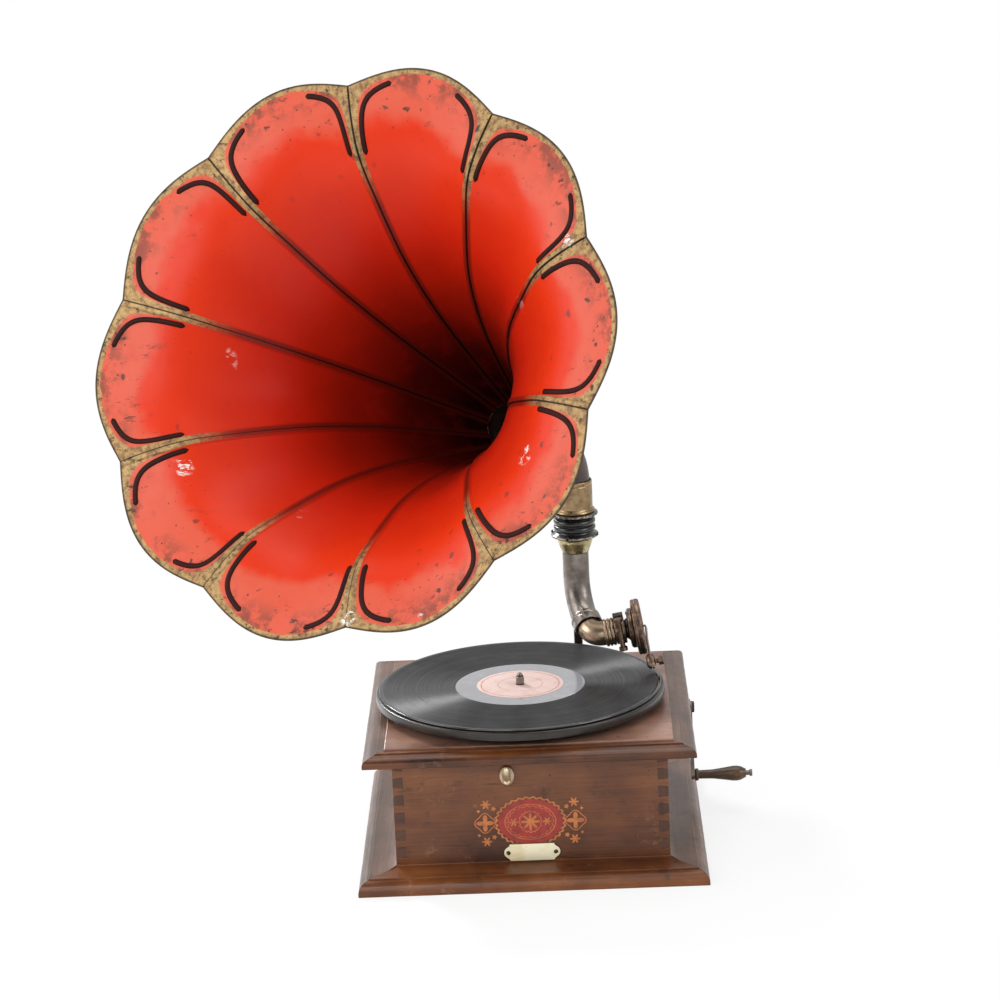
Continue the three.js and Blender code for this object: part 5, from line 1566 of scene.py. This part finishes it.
@dataclass
class ToneArm:
    """Cup, bent tube and sleeve that swing under the ring."""

    x: float = 46.5
    y: float = 80.0
    top: float = 250.7
    cup_height: float = 14.0
    drop: float = 82.0
    run: float = 33.7
    down: float = math.radians(25)
    yaw: float = math.radians(18.1)
    direction: Array = field(init=False)
    corner: Array = field(init=False)
    joint: Array = field(init=False)

    def __post_init__(self) -> None:
        """Work out the arm's lower run and the joint where the elbow turns."""
        flat = math.cos(self.down)
        self.direction = vec(math.sin(self.yaw) * flat, -math.cos(self.yaw) * flat, -math.sin(self.down))
        self.corner = vec(self.x, self.y, self.top - self.cup_height - self.drop + self.run)
        self.joint = self.corner + self.direction * self.run

    def build(self) -> None:
        """Make and dress the arm's pieces."""
        low = self.top - self.cup_height
        cup = fillet([
            (10.4, low), (12.3, low), (13.0, low + 2.6), (14.6, low + 6.5), (15.8, low + 9.8),
            (15.8, low + 12.2), (15.1, self.top - 0.9), (15.8, self.top - 0.6), (15.8, self.top),
            (12.6, self.top), (12.6, 262.2), (11, 262.2), (11, low + 7), (10.4, low),
        ], 0.8, 4)
        axis = vec(self.x, self.y, 0)
        add_piece(
            "arm_cup_turned", [turned(cup, 80)], Finish.OLIVE, "tonearm", "aged_brass", "arm_cup", place=axis
        )
        start = vec(self.x, self.y, low - 0.3)
        path = bent_path([start, self.corner, self.joint], 42, 26)
        side = unit(np.cross(vec(0, 0, 1), self.direction))
        tube = pipe(path, side, 11.8, 10.4)
        add_piece("arm_tube_steel", [tube], Finish.STEEL, "tonearm", "grey_steel", "arm_tube")
        sleeve = fillet([
            (12.5, 0), (13.1, 0), (13.4, 0.6), (13.4, 3.4), (12.9, 3.9), (13.4, 4.4), (13.4, 11.2),
            (13.0, 12), (12.5, 12), (12.5, 0),
        ], 0.3)
        add_piece(
            "arm_sleeve", [turned(sleeve, 72)], Finish.STEEL, "tonearm", "grey_steel", "arm_band",
            place=self.joint - self.direction * 10, rows=basis(self.direction, side),
        )
        facing = vec(-0.1, -1, 0.35)
        toward = unit(facing - np.dot(facing, self.direction) * self.direction)
        add_piece(
            "arm_sleeve_screw", [screw_head(1.9, 1.5, 0.9)], Finish.EDGE, "tonearm", "grey_steel",
            place=self.joint - self.direction * 2.6 + toward * 13.1, rows=basis(toward, side),
        )
        front = vec(math.cos(-1.9), math.sin(-1.9), 0)
        add_piece(
            "arm_cup_screw", [screw_head(1.5, 1.2, 0.4)], Finish.BRASS, "tonearm", "aged_brass",
            place=vec(self.x, self.y, low + 10.6) + front * 15.6, rows=basis(front, vec(0, 0, 1)),
        )


@dataclass
class SoundBox:
    """Elbow, fork clamp and the sound box with its stylus lever and needle."""

    arm: ToneArm
    rise: float = math.radians(9)

    def build(self) -> None:
        """Make and dress the sound box's pieces."""
        axis = vec(math.cos(self.rise), 0, math.sin(self.rise))
        across = vec(0, 1, 0)
        raised = np.cross(axis, across)
        rows = np.stack([-raised, across, axis])
        bend_at = self.arm.joint + self.arm.direction * 12.6
        start = self.arm.joint + self.arm.direction * 0.3
        path = bent_path([start, bend_at, bend_at + axis * 20], 12, 24)
        side = unit(np.cross(self.arm.direction, axis))
        tube = pipe(path, side, 11.0, 9.6)
        add_piece("elbow_pipe", [tube], Finish.NICKEL, "soundbox", "aged_brass", "arm_elbow")
        beads = [(9.9, 10.2)]
        for k in range(3):
            turn = np.linspace(-math.pi / 2, math.pi / 2, 9)
            middle = 10.4 + (2 * k + 1) * 1.6
            beads += list(zip(11.1 + 1.5 * np.cos(turn), middle + 1.5 * np.sin(turn)))
        beads += [(9.9, 20), (9.9, 10.2)]
        add_piece(
            "elbow_beads", [turned(np.array(beads), 64)], Finish.NICKEL, "soundbox", "aged_brass",
            place=bend_at, rows=rows, sharp=60,
        )
        self._fork(rows, bend_at)
        self._box(rows, bend_at + axis * 41.5)

    def _fork(self, rows: Array, place: Array) -> None:
        """Make the split clamp, the pin that draws it together and the sleeve in front of it.

        Args:
            rows: the sound box's frame, its Z along the elbow's end.
            place: where the elbow bends.
        """
        body = fillet([
            (5.5, 20.3), (11.6, 20.3), (12.3, 21), (12.3, 28.6), (11.6, 29.3), (5.5, 29.3), (5.5, 20.3),
        ], 0.4)
        lug = moved(slab(rounded_box(15.4, 9, 1.2), 9.0, 0.5), -7.7, 0, 20.3)
        add_piece(
            "fork_clamp", [turned(body, 56), lug], Finish.BRONZE, "soundbox", "aged_brass",
            place=place, rows=rows, sharp=35,
        )
        pin = copy_of("soundbox_fork", "fork_pin", Finish.BRONZE, 30)
        dress(soften(pin, 0.25), "soundbox", "aged_brass", "soundbox_fork")
        sleeve = fillet([
            (5.6, 24), (8.4, 24), (8.4, 30.2), (9.6, 30.8), (9.6, 32.2), (5.6, 32.2), (5.6, 24),
        ], 0.3)
        add_piece(
            "box_rubber_sleeve", [turned(sleeve, 48)], Finish.IRON, "soundbox", "bronze",
            place=place, rows=rows,
        )

    def _box(self, rows: Array, centre: Array) -> None:
        """Make the sound box: back, body with its rolled rim, mica and screws, then the stylus pieces.

        Args:
            rows: the sound box's frame.
            centre: its middle.
        """
        back = fillet([
            (5.5, -9), (16, -9), (17.4, -8.2), (18, -7), (18, -4.3), (5.5, -4.3), (5.5, -9),
        ], 0.7, 4)
        body = fillet([
            (5.5, -4), (22.6, -4), (24.6, -3.4), (25.2, -2), (24.7, -0.9), (25.2, 0.2), (25.2, 2.4),
            (24.2, 3.8), (23, 4), (21.2, 3.6), (21, 2.2), (22.6, 2), (23.2, -2), (5.5, -2), (5.5, -4),
        ], 0.5, 4)
        sheet = fillet([
            (0, 1.1), (22.4, 1.1), (22.4, 1.7), (3.2, 1.7), (3.2, 2.6), (2.4, 3.1), (0, 3.1),
        ], 0.3)
        for name, profile, sides, finish, slot, node in (
            ("box_back", back, 72, Finish.BRONZE, "bronze", "soundbox_back"),
            ("box_body", body, 96, Finish.BRONZE, "bronze", "soundbox_body"),
            ("box_mica", sheet, 72, Finish.MICA, "mica", "diaphragm"),
        ):
            part = turned(profile, sides)
            add_piece(name, [part], finish, "soundbox", slot, node, place=centre, rows=rows)
        screws = screw_ring(1.6, 1.0, 14, 0.9, 0.8, -8.9, facing=-1)
        add_piece(
            "box_back_screws", screws, Finish.DARK_SCREW, "soundbox", "bronze", place=centre, rows=rows
        )
        looks = {
            "stylus_lever": (Finish.STEEL, "grey_steel", "soundbox"),
            "needle_chuck": (Finish.BRONZE, "bronze", "soundbox"),
            "needle_screw": (Finish.BRONZE, "aged_brass", "needle_screw"),
            "needle": (Finish.STEEL, "grey_steel", "soundbox"),
        }
        for node, (finish, slot, body_name) in looks.items():
            piece = copy_of(node, node + "_fine", finish, 50)
            dress(soften(piece, 0.15), body_name, slot, node)


@dataclass
class FlowerHorn:
    """Ten seamed petals, pressed beads, throat cone, neck elbow and collar."""

    x: float = 46.5
    y: float = 80.0
    height: float = 326.8
    yaw: float = math.radians(-27.25)
    pitch: float = math.radians(24.69)
    length: float = 420.3
    phase: float = math.radians(28.27)
    petals: int = 10
    mouth: float = 218.3
    depth: float = 292.0
    wall: float = 0.8
    lobe: float = 232.3
    throat: float = 20.6
    lobe_decay: float = 0.16
    roundness: float = 0.95
    rows: int = 111
    columns: int = 53
    ridge: float = 1.3
    ridge_width: float = 4.0
    narrow_at: float = 60.0
    bell_shares: tuple[tuple[float, float], ...] = (
        (0, 1), (0.025, 0.868), (0.07, 0.752), (0.17, 0.628), (0.34, 0.454), (0.55, 0.31), (0.79, 0.19),
    )

    def __post_init__(self) -> None:
        """Work out the horn's frame and how far along the seam each share of its curve lies."""
        flat = math.cos(self.pitch)
        axis = vec(math.sin(self.yaw) * flat, -math.cos(self.yaw) * flat, math.sin(self.pitch))
        across = vec(math.cos(self.yaw), math.sin(self.yaw), 0)
        self.rows_of_frame = np.stack([across, np.cross(axis, across), axis])
        self.axis = axis
        self.corner = vec(self.x, self.y, self.height)
        scale = vec(self.depth, self.mouth)
        self.knots = np.concatenate([np.array(self.bell_shares) * scale, [[self.depth, self.throat]]])
        self.shares = np.linspace(0, 1, 600)
        curve = catmull_rom(self.knots, self.shares)
        steps = np.linalg.norm(np.diff(curve, axis=0), axis=1)
        self.run = np.concatenate([[0], np.cumsum(steps)])

    def surface(self, share: Array, angle: Array, proud: Array) -> Array:
        """Return points of a petal in the horn's own frame, about its middle.

        The radius is a chord between two seams, R cos(h) / cos(angle), plus a crown that is the
        circle's height above the chord and a lobe that dies away from the lip, both times the cosine
        of the angle's share. The proud distance goes along the seam curve's normal.

        Args:
            share: place along the seam curve from lip to throat.
            angle: angle from the petal's middle.
            proud: distance in front of the sheet.

        Returns:
            Points [x, y, z], z along the horn's axis.
        """
        depth, radius = np.moveaxis(catmull_rom(self.knots, share), -1, 0)
        step = 0.01
        ahead = catmull_rom(self.knots, np.minimum(share + step, 1))
        slope = unit(ahead - catmull_rom(self.knots, np.maximum(share - step, 0)))
        half = math.pi / self.petals
        ring = radius * (1 - math.cos(half))
        fade = np.exp(-depth / (self.lobe_decay * self.depth))
        crown = self.roundness * ring + ((self.lobe - self.mouth) + (1 - self.roundness) * ring) * fade
        out = radius * math.cos(half) / np.cos(angle) + crown * np.cos(angle / half * math.pi / 2)
        r = out - proud * slope[..., 0]
        z = self.length - depth - proud * slope[..., 1]
        return np.stack([r * np.cos(angle), r * np.sin(angle), z], -1)

    def placed(self, points: Array, number: int) -> Array:
        """Turn a petal's points to its place round the axis and into the row frame.

        Args:
            points: points about the petal's middle.
            number: the petal's place round the horn, from 0.

        Returns:
            The points in the row frame.
        """
        turn = self.phase + (number + 0.5) * TURN / self.petals
        cos, sin = math.cos(turn), math.sin(turn)
        spin = np.array([[cos, sin, 0], [-sin, cos, 0], [0, 0, 1]])
        return points @ spin @ self.rows_of_frame + self.corner

    def build(self) -> None:
        """Make and dress the horn's pieces."""
        for number in range(self.petals):
            self._petal(number)
        self._beads()
        self._hems()
        self._neck()

    def _columns(self, radius: Array) -> Array:
        """Return how far across the petal each grid column lies, for the seam's radius at each row.

        The columns crowd over the ridge along the left seam, spread evenly over the sheet and crowd
        again at the right seam, and all distances shrink where the petal is narrow.

        Args:
            radius: the seam's radius at each row.

        Returns:
            Distances from the petal's middle, one row for each radius.
        """
        near = vec(0, 0.5, 1.2, 3.4, 4.2, 5.0, 5.6, 7.0, 10.0)
        shrink = np.minimum(1, radius / self.narrow_at)[:, None]
        limit = (math.pi / self.petals * radius)[:, None]
        inner = limit - near[-1] * shrink
        left = near[None] * shrink - limit
        left[:, :7] = np.minimum(near[None, :7], limit * 0.5) - limit
        middle = np.linspace(-1, 1, self.columns)[None, 1:-1] * inner
        last = limit - vec(4.0, 1.0, 0.0)[None] * shrink
        return np.maximum.accumulate(np.concatenate([left, middle, inner, last], 1), axis=1)

    def _petal(self, number: int) -> None:
        """Make one petal: a folded ridge along one edge and gentle buckles in the sheet.

        The ridge falls off at the edge of its strip and has a shallow groove at the seam. The buckles
        are a sum of sines of the two distances, up to 0.65 mm, that die away at the lip and the seams.

        Args:
            number: the petal's place round the horn, from 0.
        """
        share = np.linspace(0, 1, self.rows) ** 1.3
        run = np.interp(share, self.shares, self.run)[:, None]
        radius = catmull_rom(self.knots, share)[:, 1]
        across = self._columns(radius)
        angle = across / radius[:, None]
        limit = (math.pi / self.petals * radius)[:, None]
        from_left, from_right = across + limit, limit - across
        strip = 1 - smooth_step(self.ridge_width, self.ridge_width + 1.2, from_left)
        ridge = self.ridge * strip * (1 - 0.25 * np.exp(-((from_left / 0.7) ** 2)))
        ridge = ridge * smooth_step(0.5, 4.0, run)
        rng = np.random.default_rng(40 + number)
        buckle = 0
        for _ in range(5):
            along = run / rng.uniform(14, 40)
            buckle = buckle + 0.13 * np.sin(along + across / rng.uniform(12, 30) + rng.uniform(0, TURN))
        keep = smooth_step(4, 30, run) * smooth_step(5, 16, from_left) * smooth_step(2, 14, from_right)
        grid_share = np.broadcast_to(share[:, None], angle.shape)
        face = self.surface(grid_share, angle, ridge + buckle * keep)
        back = self.surface(grid_share, angle, -self.wall + buckle * keep)
        rows, columns = angle.shape
        count = rows * columns
        quads = grid_faces(rows, columns)
        loop = np.concatenate([
            np.arange(columns - 1),
            np.arange(rows - 1) * columns + columns - 1,
            (rows - 1) * columns + np.arange(columns - 1, 0, -1),
            np.arange(rows - 1, 0, -1) * columns,
        ])
        after = np.roll(loop, -1)
        edge = np.stack([loop, loop + count, after + count, after], -1)
        seam = np.minimum(from_left, from_right)
        uv = np.stack([seam, np.broadcast_to(run, seam.shape)], -1).reshape(-1, 2) / 100
        piece = make_piece(
            f"petal_sheet_{number + 1}",
            self.placed(np.concatenate([face.reshape(-1, 3), back.reshape(-1, 3)]), number),
            np.concatenate([quads, quads[:, ::-1] + count, edge]),
            [Finish.PETAL, Finish.BROWN, Finish.RIM],
            uv=np.concatenate([uv, uv]),
            face_material=np.repeat([0, 1, 2], [len(quads), len(quads), len(edge)]),
            sharp=50,
        )
        dress(piece, "horn", "red_paint", f"horn_petal_{number + 1}")

    def on_sheet(self, seam_mm: Array, run_mm: Array, side: int, proud: Array) -> Array:
        """Return points of a petal.

        Args:
            seam_mm: distances from the seam.
            run_mm: distances from the lip along the seam curve.
            side: 1 for the seam at the larger angle and -1 for the other.
            proud: distance in front of the sheet.

        Returns:
            Points in the horn's own frame, about the petal's middle.
        """
        share = np.interp(run_mm, self.run, self.shares)
        radius = catmull_rom(self.knots, share)[:, 1]
        angle = side * (math.pi / self.petals - seam_mm / radius)
        return self.surface(share, angle, proud)

    def _round_the_horn(self, parts: list[Part]) -> list[Part]:
        """Return a petal's parts, joined and repeated for every petal."""
        points, faces = joined(*parts)
        return [(self.placed(points, number), faces) for number in range(self.petals)]

    def _beads(self) -> None:
        """Press two curved beads into each petal.

        Their middle line keeps (seam - 4)(lip - 6) = 110, in millimetres from seam and lip, which runs
        along the lip and turns down the seam.
        """
        seam_gap, lip_gap, product, width = 4, 6, 110, 2.4
        parts = []
        for side in (-1, 1):
            seam = np.exp(np.linspace(math.log(33.0), math.log(2.1), 46)) + seam_gap
            run = lip_gap + product / (seam - seam_gap)
            if side < 0:
                seam = seam + 1.2
            path = self.on_sheet(seam, run, side, np.full(len(seam), -0.5))
            above = self.on_sheet(seam, run, side, np.full(len(seam), 1.5))
            step = np.concatenate([[0], np.cumsum(np.linalg.norm(np.diff(path, axis=0), axis=1))])
            ends = np.minimum(step, step[-1] - step) + 0.05
            round_end = np.sqrt(1 - (1 - np.minimum(ends / 2.2, 1)) ** 2)
            sideways = np.cross(unit(np.gradient(path, axis=0)), unit(above - path))
            parts.append(swept(path, sideways, circle(width, 16, 0.72), np.maximum(round_end, 0.05)))
        add_piece("petal_beads", self._round_the_horn(parts), Finish.BEAD, "horn", "red_paint", sharp=70)

    def _hems(self) -> None:
        """Fold a flat hem, 8 mm wide, behind each seam."""
        run = np.linspace(3.0, float(self.run[-1]) - 2, 60)
        zero = np.zeros(len(run))
        path = self.on_sheet(zero, run, 1, zero - self.wall - 0.35)
        above = self.on_sheet(zero, run, 1, zero + 1)
        radius = catmull_rom(self.knots, np.interp(run, self.run, self.shares))[:, 1]
        side = np.cross(unit(np.gradient(path, axis=0)), unit(above - path))
        hem = swept(path, side, rounded_box(8, 1.0, 0.4, 3), np.minimum(1, radius / 70))
        add_piece("petal_hems", self._round_the_horn([hem]), Finish.BROWN, "horn", "brown_paint", sharp=50)

    def _neck(self) -> None:
        """Make the throat cone, the neck elbow and the collar."""
        top = self.length - self.depth - 0.3
        end = top - 42
        cone = fillet([
            (16.2, end), (17.4, end + 6), (21.0, top - 5), (22.2, top - 3), (22.2, top - 0.6), (21.4, top),
            (20.4, top), (15.2, end), (16.2, end),
        ], 0.8, 4)
        add_piece(
            "throat_cone", [turned(cone, 72)], Finish.BROWN, "horn", "brown_paint", "horn_throat",
            place=self.corner, rows=self.rows_of_frame,
        )
        base = 274.3
        start = self.corner + self.axis * (end - 0.3)
        foot = vec(self.x, self.y, base + 3.3)
        path = bent_path([start, self.corner, foot], 45, 30)
        side = unit(np.cross(self.axis, vec(0, 0, 1)))
        tube = pipe(path, side, 15.2, 14.0)
        add_piece("neck_pipe", [tube], Finish.BROWN, "horn", "brown_paint", "horn_elbow")
        sleeve = fillet([
            (11.1, base - 11), (12.6, base - 11), (12.6, base), (18.4, base), (19, base + 0.7),
            (18.6, base + 2), (17.4, base + 3), (17, base + 4), (17, base + 24.5), (16.6, base + 25.2),
            (17, base + 26), (17, base + 28.2), (16.6, base + 29),
            (16.1, base + 29), (16.1, base + 3), (11.1, base + 3), (11.1, base - 11),
        ], 0.6, 4)
        add_piece(
            "horn_collar_turned", [turned(sleeve, 80)], Finish.COLLAR, "horn", "aged_brass",
            "horn_collar", place=vec(self.x, self.y, 0),
        )


@dataclass
class Motor:
    """The spring motor inside the case, which keeps its CAD shapes."""

    def build(self) -> None:
        """Give each piece of the motor its metal."""
        brass, steel = Finish.MOTOR_BRASS, Finish.STEEL
        looks = {
            "motor_plate": steel, "motor_frame": steel, "spring_barrel": brass, "mainspring": steel,
            "winding_arbor": steel, "ratchet_click": steel, "second_arbor": brass, "governor_shaft": brass,
            "governor_balls": brass, "brake_rod": steel,
        }
        for node, finish in looks.items():
            keep_shape(node, finish)


@dataclass
class Studio:
    """Camera at the photograph's place, soft lights, white floor and surroundings."""

    azimuth: float = 0.013
    elevation: float = 0.288
    roll: float = -0.041
    distance: float = 2963.991
    focal: float = 3367.536
    centre: tuple[float, float] = (524.036, 583.776)
    aim_height: float = 231.135
    image: float = 1000.0
    floor_reach: float = 60000.0

    def build(self) -> None:
        """Set up camera, world, lights and floor."""
        self._camera()
        self._world()
        self._floor()
        self._light("front softbox", (-900, -1900, 1500), (0, 0, 260), 1500, 30)
        self._light("left softbox", (-1900, -300, 1100), (0, 0, 300), 1300, 15)
        self._light("right softbox", (1700, -900, 1200), (0, 0, 300), 1100, 14)
        self._light("top softbox", (100, 200, 2100), (0, 0, 200), 1600, 15)
        self._light("groove softbox", (-1100, 1430, 1250), (0, 0, 140), 480, 30)

    def _camera(self) -> None:
        """Place the camera on the line of sight, with its roll and the frame's shift."""
        az, el = self.azimuth, self.elevation
        back = vec(math.sin(az) * math.cos(el), -math.cos(az) * math.cos(el), math.sin(el))
        right = vec(math.cos(az), math.sin(az), 0)
        up = np.cross(back, right)
        turned_right = right * math.cos(self.roll) + up * math.sin(self.roll)
        turned_up = -right * math.sin(self.roll) + up * math.cos(self.roll)
        place = back * self.distance + vec(0, 0, self.aim_height)
        data = bpy.data.cameras.new("photograph")
        data.sensor_width = 36.0
        data.lens = self.focal / self.image * data.sensor_width
        data.shift_x = (self.image / 2 - self.centre[0]) / self.image
        data.shift_y = (self.centre[1] - self.image / 2) / self.image
        data.clip_end = 100.0
        camera = bpy.data.objects.new("photograph", data)
        bpy.context.scene.collection.objects.link(camera)
        turn = Matrix(np.stack([turned_right, turned_up, back], 1).tolist()).to_4x4()
        camera.matrix_world = Matrix.Translation(Vector(place * MM)) @ turn
        bpy.context.scene.camera = camera

    def _world(self) -> None:
        """Give a grey surround for light, which the camera and clear glass see as white and gloss as a
        lighter grey.
        """
        world = bpy.data.worlds.new("surround")
        world.use_nodes = True
        tree = world.node_tree
        tree.nodes.clear()
        path = add_node(tree, "LightPath")
        seen = Signal(path, "Is Camera Ray").at_least(Signal(path, "Is Transmission Ray"))
        most = seen.at_least(Signal(path, "Is Glossy Ray") * 0.62)
        strength = Signal(add_node(tree, "MapRange", {"Value": most, "To Min": 0.38, "To Max": 1.0}))
        ground = Signal(add_node(tree, "Background", {"Color": (1, 1, 1, 1), "Strength": strength}))
        add_node(tree, "OutputWorld", {"Surface": ground})
        bpy.context.scene.world = world

    def _floor(self) -> None:
        """Lay a wide white floor just under the object."""
        far, low = self.floor_reach, -0.2
        corners = np.array([[-far, -far, low], [far, -far, low], [far, far, low], [-far, far, low]])
        make_piece("studio_floor", corners, np.array([[0, 1, 2, 3]]), [Finish.FLOOR])

    def _light(
        self,
        name: str,
        place: tuple[float, float, float],
        target: tuple[float, float, float],
        size: float,
        power: float,
    ) -> None:
        """Hang one square softbox.

        Args:
            name: the lamp's name.
            place: where it hangs, in millimetres.
            target: the point that it faces.
            size: its side.
            power: its power in watts.
        """
        data = bpy.data.lights.new(name, "AREA")
        data.shape = "SQUARE"
        data.size = size * MM
        data.energy = power
        lamp = bpy.data.objects.new(name, data)
        bpy.context.scene.collection.objects.link(lamp)
        lamp.location = Vector(place) * MM
        lamp.rotation_euler = (Vector(target) - Vector(place)).to_track_quat("-Z", "Y").to_euler()


def main() -> None:
    """Build the studio and every sub-assembly in order."""
    logging.basicConfig(level=logging.INFO, format="%(name)s: %(message)s")
    bpy.context.scene.view_settings.view_transform = "Standard"
    arm = ToneArm()
    parts = [
        Studio(),
        WoodenCase(),
        Turntable(),
        Motor(),
        WindingCrank(),
        StartLever(),
        Bracket(),
        arm,
        SoundBox(arm),
        FlowerHorn(),
    ]
    for part in parts:
        log.info("building %s", type(part).__name__)
        part.build()


if __name__ == "__main__":
    main()
